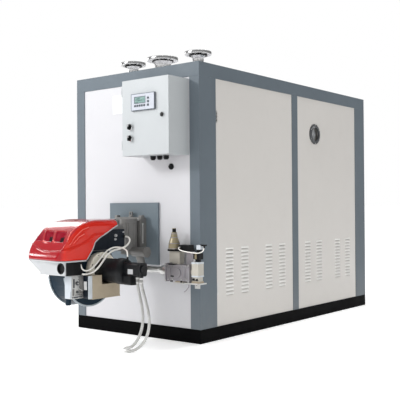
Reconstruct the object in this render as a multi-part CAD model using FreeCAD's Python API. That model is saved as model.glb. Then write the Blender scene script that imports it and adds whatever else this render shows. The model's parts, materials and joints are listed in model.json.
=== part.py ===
"""Packaged industrial boiler: a sheet-clad cabinet on a black skid, with a forced-draught
burner, its gas train and a control box on the front.

Millimetres. +X is to the right seen from the burner end, +Y runs towards the rear and +Z is up.
The origin is on the floor, at the centre of the cabinet's footprint.
"""
import FreeCAD, Part
import math
import os

V = FreeCAD.Vector

# ---------------------------------------------------------------- driving dimensions
CAB_W = 1140.0          # cabinet width over the posts
CAB_L = 2320.0          # cabinet length over the posts
CAB_H = 1800.0          # floor to the top of the frame
SKID_H = 90.0           # height of the black base
POST_FRONT = 80.0       # corner post seen from the end
POST_SIDE = 175.0       # corner post seen from the side
MID_POST = 80.0         # middle post of a side
RAIL_H = 92.0           # top rails
SHEET = 30.0            # insulated panel thickness
REVEAL = 4.0            # how far the panels sit back from the frame

LOUVRE_W = 86.0         # one louvre
LOUVRE_PITCH = 25.0
LOUVRE_ROWS = 13
LOUVRE_Z = 284.0        # lower edge of the lowest louvre
LOUVRE_COLUMNS = (-327.0, -150.0, 150.0, 327.0)

PORT_Y = 300.0          # inspection port on the right side
PORT_DROP = 365.0       # its centre below the top of the frame
PORT_OD = 158.0
PORT_ID = 107.0

FLANGE_Y = -857.0       # row of roof connections
FLANGE_X = (-291.0, 0.0, 323.0)
FLANGE_RISE = 134.0     # flange face above the top of the frame
SMALL_FLANGE = dict(od=185.0, pipe=76.0, pcd=145.0, holes=8, hole=18.0, thick=20.0)
LARGE_FLANGE = dict(od=220.0, pipe=114.0, pcd=180.0, holes=8, hole=18.0, thick=22.0)
PIPE_WALL = 5.0

BOX_W = 400.0           # control box
BOX_H = 490.0
BOX_D = 200.0
BOX_WALL = 2.5
DOOR_T = 16.0           # depth of the door's folded tray
DOOR_GAP = 5.0          # door to enclosure
HINGE_R = 6.0

BURNER_Z = 690.0        # burner axis
PLATE_W = 450.0         # square burner plate
PLATE_H = 413.0
PLATE_T = 16.0

HOOD_LEFT = -206.0      # red hood
HOOD_RIGHT = 171.0
HOOD_REAR = -1491.0
HOOD_FRONT = -1953.0
HOOD_TOP = 797.0
HOOD_BOTTOM = 556.0
NOSE_SLANT = 0.17        # forward step of the hood's nose per mm of width

FAN_Y = -1651.0         # fan housing, axis along X
FAN_Z = 472.0
FAN_R = 207.0
FAN_X0 = -60.0
FAN_X1 = 90.0

MOTOR_Y = -1580.0       # motor, axis along X
MOTOR_Z = 481.0
MOTOR_R = 75.0
MOTOR_DISC_R = 112.0
MOTOR_X1 = 275.0
BELL_X1 = 337.0
PUMP_X1 = 481.0

GAS_Y = -1250.0         # gas pipe
GAS_Z = 466.0

HOSE_D = 18.0
BURNER_CABLE_D = 12.0
PUMP_CABLE_D = 9.0
VALVE_CABLE_D = 6.5

# ---------------------------------------------------------------- derived positions
HX = CAB_W / 2
HY = CAB_L / 2
PANEL_TOP = CAB_H - RAIL_H
FRONT_FACE = -HY + REVEAL               # outer face of the front panel
SIDE_FACE = HX - REVEAL                 # outer face of the side panels
PANEL_LEN = (CAB_L - 2 * POST_SIDE - MID_POST) / 2
PANEL_Y = MID_POST / 2 + PANEL_LEN / 2
INSIDE_Y = HY - REVEAL - SHEET          # clear inside, lengthwise
INSIDE_X = HX - REVEAL - SHEET
PORT_Z = CAB_H - PORT_DROP
FLANGE_TOP = CAB_H + FLANGE_RISE

PARTS = {}


# ---------------------------------------------------------------- small helpers
def box(x0, x1, y0, y1, z0, z1):
    return Part.makeBox(x1 - x0, y1 - y0, z1 - z0, V(x0, y0, z0))


def cyl(radius, start, end):
    a = V(*start)
    b = V(*end)
    return Part.makeCylinder(radius, (b - a).Length, a, b - a)


def cone(r0, r1, start, end):
    a = V(*start)
    b = V(*end)
    return Part.makeCone(r0, r1, (b - a).Length, a, b - a)


def one(shapes):
    first = shapes[0]
    if len(shapes) > 1:
        first = first.multiFuse(shapes[1:])
    return first.removeSplitter()


def cut(shape, tools):
    return shape.cut(Part.makeCompound(tools) if len(tools) > 1 else tools[0])


def rounded_box(x0, x1, y0, y1, z0, z1, radius, axis):
    """A box with its four edges along one axis rounded."""
    shape = box(x0, x1, y0, y1, z0, z1)
    edges = []
    for edge in shape.Edges:
        ends = edge.Vertexes[1].Point - edge.Vertexes[0].Point
        if abs(ends.normalize().dot(axis)) > 0.99:
            edges.append(edge)
    return shape.makeFillet(radius, edges)


def prism(points, direction):
    """A closed polygon of 3-D points, extruded."""
    wire = Part.makePolygon([V(*p) for p in points] + [V(*points[0])])
    return Part.Face(wire).extrude(V(*direction))


def curve(points):
    spline = Part.BSplineCurve()
    spline.interpolate([V(*p) for p in points])
    return spline.toShape()


def line(a, b):
    return Part.makeLine(V(*a), V(*b))


def save(name, shape):
    shape = shape.removeSplitter() if len(shape.Solids) == 1 else shape
    solids = shape.Solids
    out = solids[0] if len(solids) == 1 else Part.makeCompound(solids)
    if not out.isValid():
        print("NOT VALID", name)
    PARTS[name] = out
    out.exportStep("parts/%s.step" % name)
    print("%-24s solids %d  volume %.0f" % (name, len(solids), sum(s.Volume for s in solids)))


def tube_along(name, points, diameter):
    """A round cord along straight runs joined by tangent arcs."""
    pts = [V(*p) for p in points]
    edges = []
    length = 0.0
    start = pts[0]
    radii = []
    for i in range(1, len(pts) - 1):
        before = pts[i] - pts[i - 1]
        after = pts[i + 1] - pts[i]
        run = min(before.Length, after.Length)
        turn = before.getAngle(after)
        reach = 0.45 * run
        radius = reach / math.tan(turn / 2)
        radii.append(round(radius))
        u = V(before).normalize()
        w = V(after).normalize()
        p_in = pts[i] - u * reach
        p_out = pts[i] + w * reach
        inward = (w - u).normalize()
        centre_dist = radius / math.cos(turn / 2)
        middle = pts[i] + inward * (centre_dist - radius)
        edges.append(Part.LineSegment(start, p_in).toShape())
        edges.append(Part.Arc(p_in, middle, p_out).toShape())
        length += (p_in - start).Length + radius * turn
        start = p_out
    edges.append(Part.LineSegment(start, pts[-1]).toShape())
    length += (pts[-1] - start).Length
    path = Part.Wire(edges)
    ring = Part.Wire(Part.Circle(pts[0], pts[1] - pts[0], diameter / 2).toShape())
    shape = path.makePipeShell([ring], True, True)
    solid = shape if shape.ShapeType == "Solid" else shape.Solids[0]
    want = math.pi * diameter ** 2 / 4 * length
    runs = [round((pts[i + 1] - pts[i]).Length) for i in range(len(pts) - 1)]
    print("%s: length %.0f, volume ratio %.4f, least radius %d (%.1f diameters), runs %s"
          % (name, length, solid.Volume / want, min(radii), min(radii) / diameter, runs))
    save(name, solid)


# ---------------------------------------------------------------- skid and frame
def make_skid():
    beam = 60.0
    cross = 120.0
    pieces = [
        box(-HX, -HX + beam, -HY, HY, 0, SKID_H),
        box(HX - beam, HX, -HY, HY, 0, SKID_H),
        box(-HX, HX, -HY, -HY + beam, 0, SKID_H),
        box(-HX, HX, HY - beam, HY, 0, SKID_H),
        box(-HX, HX, -cross / 2, cross / 2, 0, SKID_H),
    ]
    save("base_skid", one(pieces))


def make_frame():
    for name, sx, sy in (
        ("front_left_post", -1, -1),
        ("front_right_post", 1, -1),
        ("rear_left_post", -1, 1),
        ("rear_right_post", 1, 1),
    ):
        xs = sorted((sx * HX, sx * (HX - POST_FRONT)))
        ys = sorted((sy * HY, sy * (HY - POST_SIDE)))
        save(name, box(xs[0], xs[1], ys[0], ys[1], SKID_H, PANEL_TOP))
    for name, sx in (("left_mid_post", -1), ("right_mid_post", 1)):
        xs = sorted((sx * HX, sx * (HX - POST_FRONT)))
        save(name, box(xs[0], xs[1], -MID_POST / 2, MID_POST / 2, SKID_H, PANEL_TOP))
    ring = box(-HX, HX, -HY, HY, PANEL_TOP, CAB_H)
    inner_x = HX - POST_FRONT
    inner_y = HY - POST_FRONT
    opening = box(-inner_x, inner_x, -inner_y, inner_y, PANEL_TOP - 1, CAB_H + 1)
    save("top_frame", ring.cut(opening))


def make_end_panels():
    half = HX - POST_FRONT
    for name, sy in (("front_panel", -1), ("rear_panel", 1)):
        ys = sorted((sy * (HY - REVEAL), sy * (HY - REVEAL - SHEET)))
        save(name, box(-half, half, ys[0], ys[1], SKID_H, PANEL_TOP))


def louvred_panel(side, centre_y):
    """One side panel: slots through the sheet, each with a pressed lip above it."""
    xs = sorted((side * SIDE_FACE, side * (SIDE_FACE - SHEET)))
    y0 = centre_y - PANEL_LEN / 2
    panel = box(xs[0], xs[1], y0, y0 + PANEL_LEN, SKID_H, PANEL_TOP)
    slots = []
    lips = []
    slot_h = 9.0
    lip_out = 3.5
    for column in LOUVRE_COLUMNS:
        a = centre_y + column - LOUVRE_W / 2
        b = a + LOUVRE_W
        for row in range(LOUVRE_ROWS):
            z = LOUVRE_Z + row * LOUVRE_PITCH
            slots.append(box(xs[0] - 1, xs[1] + 1, a + 3, b - 3, z, z + slot_h))
            face = side * SIDE_FACE
            top = z + slot_h + 9
            outline = [(face, a, z + slot_h), (face + side * lip_out, a, z + slot_h), (face, a, top)]
            lips.append(prism(outline, (0, LOUVRE_W, 0)))
    panel = cut(panel, slots)
    return panel.multiFuse(lips)


def make_side_panels():
    for name, side, sy in (
        ("left_front_panel", -1, -1),
        ("left_rear_panel", -1, 1),
        ("right_front_panel", 1, -1),
        ("right_rear_panel", 1, 1),
    ):
        panel = louvred_panel(side, sy * PANEL_Y)
        if name == "right_rear_panel":
            hole = cyl(PORT_ID / 2, (HX - 60, PORT_Y, PORT_Z), (HX + 10, PORT_Y, PORT_Z))
            panel = cut(panel, [hole])
        save(name, panel)


def make_port():
    """Round inspection port: a bolted ring with a glass disc set back in it."""
    out = SIDE_FACE + 14
    ring = cyl(PORT_OD / 2, (SIDE_FACE, PORT_Y, PORT_Z), (out, PORT_Y, PORT_Z))
    bore = cyl(PORT_ID / 2, (SIDE_FACE - 1, PORT_Y, PORT_Z), (out + 1, PORT_Y, PORT_Z))
    save("port_ring", ring.cut(bore))
    back = SIDE_FACE - SHEET
    glass = cyl(PORT_ID / 2, (back, PORT_Y, PORT_Z), (back + 10, PORT_Y, PORT_Z))
    save("port_glass", glass)


# ---------------------------------------------------------------- vessel, roof and connections
VESSEL_R = 485.0
VESSEL_Z = BURNER_Z
NOZZLE_TOP = 1300.0
STUB_FLOOR = CAB_H + 6                    # the stubs are open down to here


def connection_list():
    return (
        ("left_roof_flange", FLANGE_X[0], SMALL_FLANGE),
        ("middle_roof_flange", FLANGE_X[1], LARGE_FLANGE),
        ("right_roof_flange", FLANGE_X[2], SMALL_FLANGE),
    )


def make_vessel():
    """The pressure shell lies along Y on two saddles, closed off under the cladding."""
    shell = cyl(VESSEL_R, (0, -INSIDE_Y, VESSEL_Z), (0, INSIDE_Y, VESSEL_Z))
    pieces = [shell]
    for y in (-INSIDE_Y, INSIDE_Y - 60):
        pieces.append(box(-400, 400, y, y + 60, SKID_H, VESSEL_Z))
    for _, x, size in connection_list():
        pieces.append(cyl(size["pipe"] / 2 + 8, (x, FLANGE_Y, VESSEL_Z), (x, FLANGE_Y, NOZZLE_TOP)))
    save("boiler_vessel", one(pieces))


def make_roof():
    inner_x = HX - POST_FRONT
    inner_y = HY - POST_FRONT
    roof = box(-inner_x, inner_x, -inner_y, inner_y, CAB_H - REVEAL - SHEET, CAB_H - REVEAL)
    holes = []
    for _, x, size in connection_list():
        holes.append(cyl(size["pipe"] / 2 + 3, (x, FLANGE_Y, CAB_H - 60), (x, FLANGE_Y, CAB_H + 10)))
    save("roof_panel", cut(roof, holes))


def make_connections():
    """Flanged stubs: a pipe up from the vessel, a weather collar on the roof and a bolting flange."""
    for name, x, size in connection_list():
        r = size["pipe"] / 2
        face = FLANGE_TOP - size["thick"]
        roof = CAB_H - REVEAL
        pieces = [
            cyl(r, (x, FLANGE_Y, NOZZLE_TOP), (x, FLANGE_Y, FLANGE_TOP)),
            cyl(r + 18, (x, FLANGE_Y, roof), (x, FLANGE_Y, roof + 6)),
            cone(r + 0.5, r + 14, (x, FLANGE_Y, face - 26), (x, FLANGE_Y, face)),
            cyl(size["od"] / 2, (x, FLANGE_Y, face), (x, FLANGE_Y, FLANGE_TOP)),
        ]
        stub = one(pieces)
        tools = [cyl(r - PIPE_WALL, (x, FLANGE_Y, STUB_FLOOR), (x, FLANGE_Y, FLANGE_TOP + 1))]
        for i in range(size["holes"]):
            a = 2 * math.pi * (i + 0.5) / size["holes"]
            hx = x + size["pcd"] / 2 * math.cos(a)
            hy = FLANGE_Y + size["pcd"] / 2 * math.sin(a)
            tools.append(cyl(size["hole"] / 2, (hx, hy, face - 1), (hx, hy, FLANGE_TOP + 1)))
        save(name, cut(stub, tools))


# ---------------------------------------------------------------- control box
BOX_X1 = HX - POST_FRONT - 7              # 7 mm inside the right post, 13 mm under the rail
BOX_X0 = BOX_X1 - BOX_W
BOX_Z1 = PANEL_TOP - 13
BOX_Z0 = BOX_Z1 - BOX_H
BOX_BACK = FRONT_FACE                     # stands straight on the front panel
BOX_FRONT = FRONT_FACE - BOX_D + DOOR_T + DOOR_GAP
DOOR_BACK = BOX_FRONT - DOOR_GAP
DOOR_FACE = DOOR_BACK - DOOR_T
HINGE_X = BOX_X0 - HINGE_R - 1.5
HINGE_Y = DOOR_BACK - DOOR_T / 2
HINGE_Z = (BOX_Z0 + 70, BOX_Z1 - 70)      # centres of the two hinges
HINGE_LEN = 60.0

UNIT_X0 = BOX_X0 + 93                     # controller on the door
UNIT_X1 = UNIT_X0 + 202
UNIT_Z1 = BOX_Z1 - 96
UNIT_Z0 = UNIT_Z1 - 108
UNIT_OUT = 14.0
UNIT_IN = 62.0
KNOB_X = BOX_X0 + 77
KNOB_Z = (BOX_Z1 - 305, BOX_Z1 - 378)
LOCK_X = BOX_X1 - 50
LOCK_Z = BOX_Z1 - 243


def make_control_box():
    shell = box(BOX_X0, BOX_X1, BOX_FRONT, BOX_BACK, BOX_Z0, BOX_Z1)
    room = box(BOX_X0 + BOX_WALL, BOX_X1 - BOX_WALL, BOX_FRONT - 1, BOX_BACK - BOX_WALL,
               BOX_Z0 + BOX_WALL, BOX_Z1 - BOX_WALL)
    pieces = [shell.cut(room)]
    for z in HINGE_Z:
        # fixed half of a hinge: a leaf on the side wall and the lower knuckle with its pin
        low = z - HINGE_LEN / 2
        pieces.append(box(BOX_X0 - 5, BOX_X0, BOX_FRONT, BOX_FRONT + 30, low, z - 0.5))
        pieces.append(box(HINGE_X - 3, BOX_X0 - 5, HINGE_Y, BOX_FRONT + 4, low, z - 0.5))
        pieces.append(cyl(HINGE_R, (HINGE_X, HINGE_Y, low), (HINGE_X, HINGE_Y, z - 0.5)))
        pieces.append(cyl(2.7, (HINGE_X, HINGE_Y, z - 1), (HINGE_X, HINGE_Y, z + HINGE_LEN / 2 - 6)))
    # the rubber seal on the rim, which the door closes against
    seal_out = DOOR_GAP - 0.3
    outer = box(BOX_X0 + 0.5, BOX_X1 - 0.5, BOX_FRONT - seal_out, BOX_FRONT, BOX_Z0 + 0.5, BOX_Z1 - 0.5)
    inner = box(BOX_X0 + 9, BOX_X1 - 9, BOX_FRONT - 8, BOX_FRONT + 1, BOX_Z0 + 9, BOX_Z1 - 9)
    pieces.append(outer.cut(inner))
    save("control_box", one(pieces))


def make_control_door():
    tray = box(BOX_X0, BOX_X1, DOOR_FACE, DOOR_BACK, BOX_Z0, BOX_Z1)
    pocket = box(BOX_X0 + 12, BOX_X1 - 12, DOOR_FACE + 2.5, DOOR_BACK + 1, BOX_Z0 + 12, BOX_Z1 - 12)
    door = tray.cut(pocket)
    pieces = [door]
    for z in HINGE_Z:
        high = z + HINGE_LEN / 2
        pieces.append(cyl(HINGE_R, (HINGE_X, HINGE_Y, z + 0.5), (HINGE_X, HINGE_Y, high)))
        pieces.append(box(HINGE_X, BOX_X0, HINGE_Y - 4, HINGE_Y + 2, z + 0.5, high))
    door = one(pieces)
    tools = []
    for z in HINGE_Z:
        tools.append(cyl(3.2, (HINGE_X, HINGE_Y, z), (HINGE_X, HINGE_Y, z + HINGE_LEN / 2 - 5)))
    tools.append(box(UNIT_X0 + 6, UNIT_X1 - 6, DOOR_FACE - 1, DOOR_FACE + 5, UNIT_Z0 + 6, UNIT_Z1 - 6))
    for z in KNOB_Z:
        tools.append(cyl(11, (KNOB_X, DOOR_FACE - 1, z), (KNOB_X, DOOR_FACE + 5, z)))
    tools.append(cyl(10, (LOCK_X, DOOR_FACE - 1, LOCK_Z), (LOCK_X, DOOR_FACE + 5, LOCK_Z)))
    save("control_door", cut(door, tools))


def make_door_fittings():
    bezel = box(UNIT_X0, UNIT_X1, DOOR_FACE - UNIT_OUT, DOOR_FACE, UNIT_Z0, UNIT_Z1)
    rear = box(UNIT_X0 + 6, UNIT_X1 - 6, DOOR_FACE, DOOR_BACK + UNIT_IN, UNIT_Z0 + 6, UNIT_Z1 - 6)
    face = DOOR_FACE - UNIT_OUT
    keys = [bezel, rear]
    for i in range(5):
        x = UNIT_X0 + 36 + i * 20.0
        keys.append(box(x - 6, x + 6, face - 2.5, face, UNIT_Z0 + 24, UNIT_Z0 + 36))
    for i in range(3):
        x = UNIT_X1 - 54
        z = UNIT_Z1 - 34 - i * 22.0
        keys.append(box(x - 7, x + 7, face - 2.5, face, z - 6, z + 6))
    sight = (UNIT_X0 + 31, UNIT_X0 + 122, UNIT_Z0 + 48, UNIT_Z0 + 85)
    window = box(sight[0], sight[1], face - 1, face + 3, sight[2], sight[3])
    save("controller", cut(one(keys), [window]))
    save("controller_display", box(sight[0], sight[1], face + 1, face + 3, sight[2], sight[3]))
    bezels = []
    for name, z in (("upper_selector_knob", KNOB_Z[0]), ("lower_selector_knob", KNOB_Z[1])):
        ring = one([
            cyl(17, (KNOB_X, DOOR_FACE - 9, z), (KNOB_X, DOOR_FACE, z)),
            cyl(10.8, (KNOB_X, DOOR_FACE, z), (KNOB_X, DOOR_FACE + 30, z)),
        ])
        bezels.append(ring.cut(cyl(5.4, (KNOB_X, DOOR_FACE - 10, z), (KNOB_X, DOOR_FACE + 20, z))))
        knob = one([
            cyl(14, (KNOB_X, DOOR_FACE - 17, z), (KNOB_X, DOOR_FACE - 9.4, z)),
            cyl(5, (KNOB_X, DOOR_FACE - 10, z), (KNOB_X, DOOR_FACE + 19, z)),
            box(KNOB_X - 4.5, KNOB_X + 4.5, DOOR_FACE - 31, DOOR_FACE - 16, z - 16, z + 16),
        ])
        save(name, knob)
    lock = one([
        cyl(15, (LOCK_X, DOOR_FACE - 7, LOCK_Z), (LOCK_X, DOOR_FACE, LOCK_Z)),
        cyl(9.8, (LOCK_X, DOOR_FACE, LOCK_Z), (LOCK_X, DOOR_FACE + 24, LOCK_Z)),
    ])
    slot = box(LOCK_X - 1.5, LOCK_X + 1.5, DOOR_FACE - 8, DOOR_FACE - 4, LOCK_Z - 8, LOCK_Z + 8)
    save("bezels_and_lock", Part.makeCompound(bezels + [lock.cut(slot)]))
    glands = []
    for x, y in ((BOX_X0 + 157, -1232), (BOX_X0 + 215, -1232), (BOX_X0 + 270, -1232)):
        glands.append(one([
            cyl(19, (x, y, BOX_Z0 - 7), (x, y, BOX_Z0)),
            cyl(15, (x, y, BOX_Z0 - 20), (x, y, BOX_Z0 - 7)),
            cyl(8, (x, y, BOX_Z0 - 27), (x, y, BOX_Z0 - 20)),
        ]))
    grommet = one([
        cyl(20, (332, FRONT_FACE - 6, 1136), (332, FRONT_FACE, 1136)),
        cyl(13, (332, FRONT_FACE - 16, 1136), (332, FRONT_FACE - 6, 1136)),
    ])
    save("cable_glands", Part.makeCompound(glands + [grommet]))


# ---------------------------------------------------------------- burner
PLATE_FACE = FRONT_FACE - PLATE_T
BODY_FRONT = -1700.0
ELECTRICS_FACE = 118.0
RIM_Z = HOOD_BOTTOM - 8


def fan_envelope(gap):
    return cyl(FAN_R + gap, (FAN_X0 - gap, FAN_Y, FAN_Z), (FAN_X1 + gap, FAN_Y, FAN_Z))


def make_burner_head():
    mid = BURNER_Z + 4.5
    save("burner_plate", box(-PLATE_W / 2, PLATE_W / 2, PLATE_FACE, FRONT_FACE,
                             mid - PLATE_H / 2, mid + PLATE_H / 2))
    flange = rounded_box(-120, 120, -1232, PLATE_FACE, 575, 805, 22, V(0, 1, 0))
    ears = []
    for x in (-112, 112):
        ears.append(box(x - 12, x + 12, -1226, -1196, 790, 818))
    eye = one([
        cyl(16, (0, -1195, 800), (0, -1195, 812)),
        box(-14, 14, -1200, -1190, 811, 842),
    ])
    eye = eye.cut(cyl(8, (0, -1210, 828), (0, -1180, 828)))
    save("burner_flange", one([flange, eye] + ears))
    pot = rounded_box(-110, 110, -1380, -1232, 592, 795, 34, V(0, 0, 1))
    trunk = box(-110, 100, BODY_FRONT, -1370, 600, 761)
    neck = box(FAN_X0, FAN_X1, -1700, -1560, 600, 695)
    end_plate = box(-105, 105, HOOD_REAR, -1440, 760, HOOD_TOP)
    body = one([pot, trunk, end_plate])
    save("burner_body", cut(body, [fan_envelope(0.5), neck]))
    save("electrics_box", box(100, ELECTRICS_FACE, -1646, -1380, 605, 731))
    elbow = one([
        cyl(31, (110, -1285, 579), (222, -1285, 579)),
        cyl(35, (222, -1285, 579), (232, -1285, 579)),
        box(20, 118, -1312, -1258, 560, 592),
        cyl(26, (150, GAS_Y, 500), (150, GAS_Y - 30, 570)).common(box(100, 200, -1330, -1200, 500, 600)),
    ])
    save("gas_inlet_elbow", elbow)


def hood_outer():
    """The hood's outer form: nose, tail, plan and end view, each as a solid, in common.

    The nose runs aslant: it stands further forward at its right than at its left.
    """
    front = HOOD_FRONT
    top = HOOD_TOP
    x0 = HOOD_LEFT
    x1 = HOOD_RIGHT
    rear = HOOD_REAR
    reach = 600.0
    nose = [
        (0, front, HOOD_BOTTOM),
        (0, front + 5, HOOD_BOTTOM + 34),
        (0, front + 18, HOOD_BOTTOM + 65),
        (0, front + 38, HOOD_BOTTOM + 99),
        (0, front + 68, HOOD_BOTTOM + 134),
        (0, front + 113, HOOD_BOTTOM + 174),
        (0, front + 158, top - 37),
        (0, front + 203, top - 19),
        (0, front + 253, top - 7),
        (0, front + 313, top),
    ]
    tail = [
        (0, rear, top - 36),
        (0, rear - 45, top - 56),
        (0, rear - 88, top - 78),
        (0, rear - 157, top - 109),
        (0, rear - 195, HOOD_BOTTOM + 106),
        (0, rear - 216, HOOD_BOTTOM + 64),
        (0, rear - 241, HOOD_BOTTOM + 32),
        (0, rear - 266, HOOD_BOTTOM),
    ]
    back = rear + 100
    nose_side = Part.Wire([
        curve(nose),
        line(nose[-1], (0, back, top)),
        line((0, back, top), (0, back, HOOD_BOTTOM)),
        line((0, back, HOOD_BOTTOM), nose[0]),
    ])
    aslant = NOSE_SLANT * 1000
    nose_block = Part.Face(nose_side).extrude(V(1000, -aslant, 0))
    nose_block.translate(V(-500, 600 * NOSE_SLANT, 0))
    ahead = front - 200
    tail_side = Part.Wire([
        line((0, ahead, top), (0, rear, top)),
        line((0, rear, top), tail[0]),
        curve(tail),
        line(tail[-1], (0, ahead, HOOD_BOTTOM)),
        line((0, ahead, HOOD_BOTTOM), (0, ahead, top)),
    ])
    tail_block = Part.Face(tail_side).extrude(V(1000, 0, 0))
    tail_block.translate(V(-500, 0, 0))
    mid_x = (x0 + x1) / 2
    plan = Part.Wire([
        line((x0, rear, 0), (x0, front + 66, 0)),
        curve([(x0, front + 66, 0), (x0 + 14, front + 42, 0), (x0 + 60, front + 24, 0),
               (mid_x, front + 3, 0), (x1 - 40, front + 2, 0), (x1 - 12, front + 18, 0),
               (x1, front + 60, 0)]),
        line((x1, front + 60, 0), (x1, rear, 0)),
        line((x1, rear, 0), (x0, rear, 0)),
    ])
    plan = Part.Face(plan).extrude(V(0, 0, 1500))
    r = 42.0
    end = Part.Wire([
        line((x0, 0, HOOD_BOTTOM), (x0, 0, top - r)),
        Part.Arc(V(x0, 0, top - r), V(x0 + r * 0.293, 0, top - r * 0.293), V(x0 + r, 0, top)).toShape(),
        line((x0 + r, 0, top), (x1 - r, 0, top)),
        Part.Arc(V(x1 - r, 0, top), V(x1 - r * 0.293, 0, top - r * 0.293), V(x1, 0, top - r)).toShape(),
        line((x1, 0, top - r), (x1, 0, HOOD_BOTTOM)),
        line((x1, 0, HOOD_BOTTOM), (x0, 0, HOOD_BOTTOM)),
    ])
    end = Part.Face(end).extrude(V(0, reach + 2000, 0))
    end.translate(V(0, -2400, 0))
    return nose_block.common(tail_block).common(plan).common(end)


def make_hood():
    outer = hood_outer()
    room = box(-112, 120, BODY_FRONT - 14, HOOD_REAR + 1, HOOD_BOTTOM - 1, 762)
    save("burner_hood", cut(outer, [room, fan_envelope(4)]))


def make_lower_casing():
    slab = box(-400, 400, -2100, -1700, RIM_Z, HOOD_BOTTOM)
    rim = hood_outer().common(box(-400, 400, -2100, -1760, HOOD_BOTTOM, HOOD_BOTTOM + 8))
    rim.translate(V(0, 0, -8))
    rim = rim.common(slab)
    tub = prism([(-180, -1760, RIM_Z), (88, -1760, RIM_Z), (88, -1760, 470), (-60, -1760, 470)],
                (0, -150, 0))
    snout = box(-60, 162, -1925, -1862, 470, RIM_Z)
    mouth = cyl(29, (128, -1990, 512), (128, -1880, 512))
    keep_out = fan_envelope(0.5)
    save("lower_casing", cut(one([rim, tub, snout]), [keep_out, mouth]))


def make_fan():
    wheel = cyl(FAN_R, (FAN_X0, FAN_Y, FAN_Z), (FAN_X1, FAN_Y, FAN_Z))
    neck = box(FAN_X0, FAN_X1, -1700, -1560, 600, 695)
    ribs = []
    for x in (FAN_X0, FAN_X1 - 8):
        rib = cyl(FAN_R + 7, (x, FAN_Y, FAN_Z), (x + 8, FAN_Y, FAN_Z))
        ribs.append(rib.cut(box(x - 1, x + 9, -2100, -1200, FAN_Z - 20, 900)))
    foot = cyl(17, (38, FAN_Y - 139, FAN_Z - 197), (38, FAN_Y - 139, FAN_Z - 140))
    save("fan_housing", one([wheel, neck, foot] + ribs))


def make_motor():
    c = (MOTOR_Y, MOTOR_Z)
    save("motor_flange", cyl(MOTOR_DISC_R, (FAN_X1, c[0], c[1]), (127, c[0], c[1])))
    ribs = [cyl(MOTOR_R, (127, c[0], c[1]), (MOTOR_X1, c[0], c[1]))]
    save("burner_motor", one(ribs))
    bell = one([
        cyl(MOTOR_R + 5, (MOTOR_X1, c[0], c[1]), (BELL_X1 - 14, c[0], c[1])),
        cyl(MOTOR_R - 8, (MOTOR_X1, c[0], c[1]), (BELL_X1, c[0], c[1])),
    ])
    save("motor_end_bell", bell)
    pump = one([
        rounded_box(BELL_X1, 470, MOTOR_Y - 32, MOTOR_Y + 32, 457, 538, 14, V(1, 0, 0)),
        rounded_box(BELL_X1, 398, MOTOR_Y - 38, MOTOR_Y + 38, 402, 470, 16, V(1, 0, 0)),
        cyl(7.5, (350, -1590, 530), (350, -1590, 552)),
        cyl(24, (470, c[0], 500), (PUMP_X1, c[0], 500)),
        cyl(13, (419, -1577, 450), (419, -1577, 470)),
        cyl(13, (462, -1589, 450), (462, -1589, 470)),
    ])
    save("oil_pump", pump)


def make_intake():
    under = MOTOR_Z - MOTOR_R - 4
    outline = [
        (92, -1740, 321), (92, -1507, 321), (92, -1507, under), (92, -1660, under),
        (92, -1672, 459), (92, -1740, 459),
    ]
    duct = prism(outline, (108, 0, 0))
    disc = cyl(MOTOR_DISC_R + 0.5, (80, MOTOR_Y, MOTOR_Z), (127.5, MOTOR_Y, MOTOR_Z))
    link = box(FAN_X1, 92, -1730, -1520, 325, 360)
    save("air_intake_box", cut(one([duct, link]), [disc]))
    save("damper_servo", box(105, 180, -1764, -1740, 322, 450))
    save("damper_motor", one([
        box(FAN_X1, 148, -1860, -1795, 326, 459),
        box(96, 148, -1796, -1764, 330, 440),
        box(FAN_X1, 148, -1860, -1822, 458, RIM_Z),
    ]))


# ---------------------------------------------------------------- gas train
def make_gas_train():
    pipe = one([
        cyl(21.2, (150, GAS_Y, GAS_Z), (387, GAS_Y, GAS_Z)),
        cyl(21.2, (150, GAS_Y, GAS_Z), (150, GAS_Y, 500)),
        cyl(29, (330, GAS_Y, GAS_Z), (378, GAS_Y, GAS_Z)),
    ])
    sphere = Part.makeSphere(21.2, V(150, GAS_Y, GAS_Z))
    save("gas_pipe", one([pipe, sphere]))
    block = one([
        box(387, 399, -1292, -1208, 400, 516),
        box(399, 575, -1286, -1214, 408, 508),
        box(575, 588, -1292, -1208, 400, 516),
        cyl(30, (487, -1286, 458), (487, -1294, 458)),
        box(530, 574, -1246, -1216, 506, 590),
        cyl(4, (560, -1262, 372), (560, -1262, 410)),
    ])
    save("valve_block", block)
    save("gas_filter", cut(box(374, 462, -1232, -1186, 508, 590), [block]))
    bracket = one([
        box(374, 552, -1250, -1190, 590, 602),
        box(467, 545, -1250, -1190, 602, 632),
    ])
    save("pressure_switch", bracket)
    spring = (408, -1222)
    bell = one([
        cone(38, 36, (spring[0], spring[1], 602), (spring[0], spring[1], 640)),
        cone(36, 23, (spring[0], spring[1], 640), (spring[0], spring[1], 676)),
        cone(23, 17, (spring[0], spring[1], 676), (spring[0], spring[1], 710)),
        cyl(12, (spring[0], spring[1], 708), (spring[0], spring[1], 736)),
    ])
    save("gas_regulator", bell)
    save("gas_valve", one([
        box(606, 658, -1290, -1236, 440, 530),
        box(604, 654, -1280, -1240, 400, 440),
        cyl(26, (588, -1250, 466), (606, -1250, 466)),
    ]))
    save("valve_solenoid", one([
        box(610, 654, -1278, -1234, 547, 586),
        cyl(18, (632, -1256, 530), (632, -1256, 547)),
        cyl(12, (636, -1256, 586), (636, -1256, 602)),
        box(632, 662, -1272, -1244, 600, 634),
        box(660, 694, -1272, -1248, 630, 640),
    ]))
    bracket = one([
        box(530, 574, -1290, -HY, 392, 400),
        box(452, 664, -1290, -1214, 392, 400),
        box(530, HX, -HY - 6, -HY, 352, 400),
    ])
    save("train_bracket", bracket.cut(cyl(5, (560, -1262, 380), (560, -1262, 405))))


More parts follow.
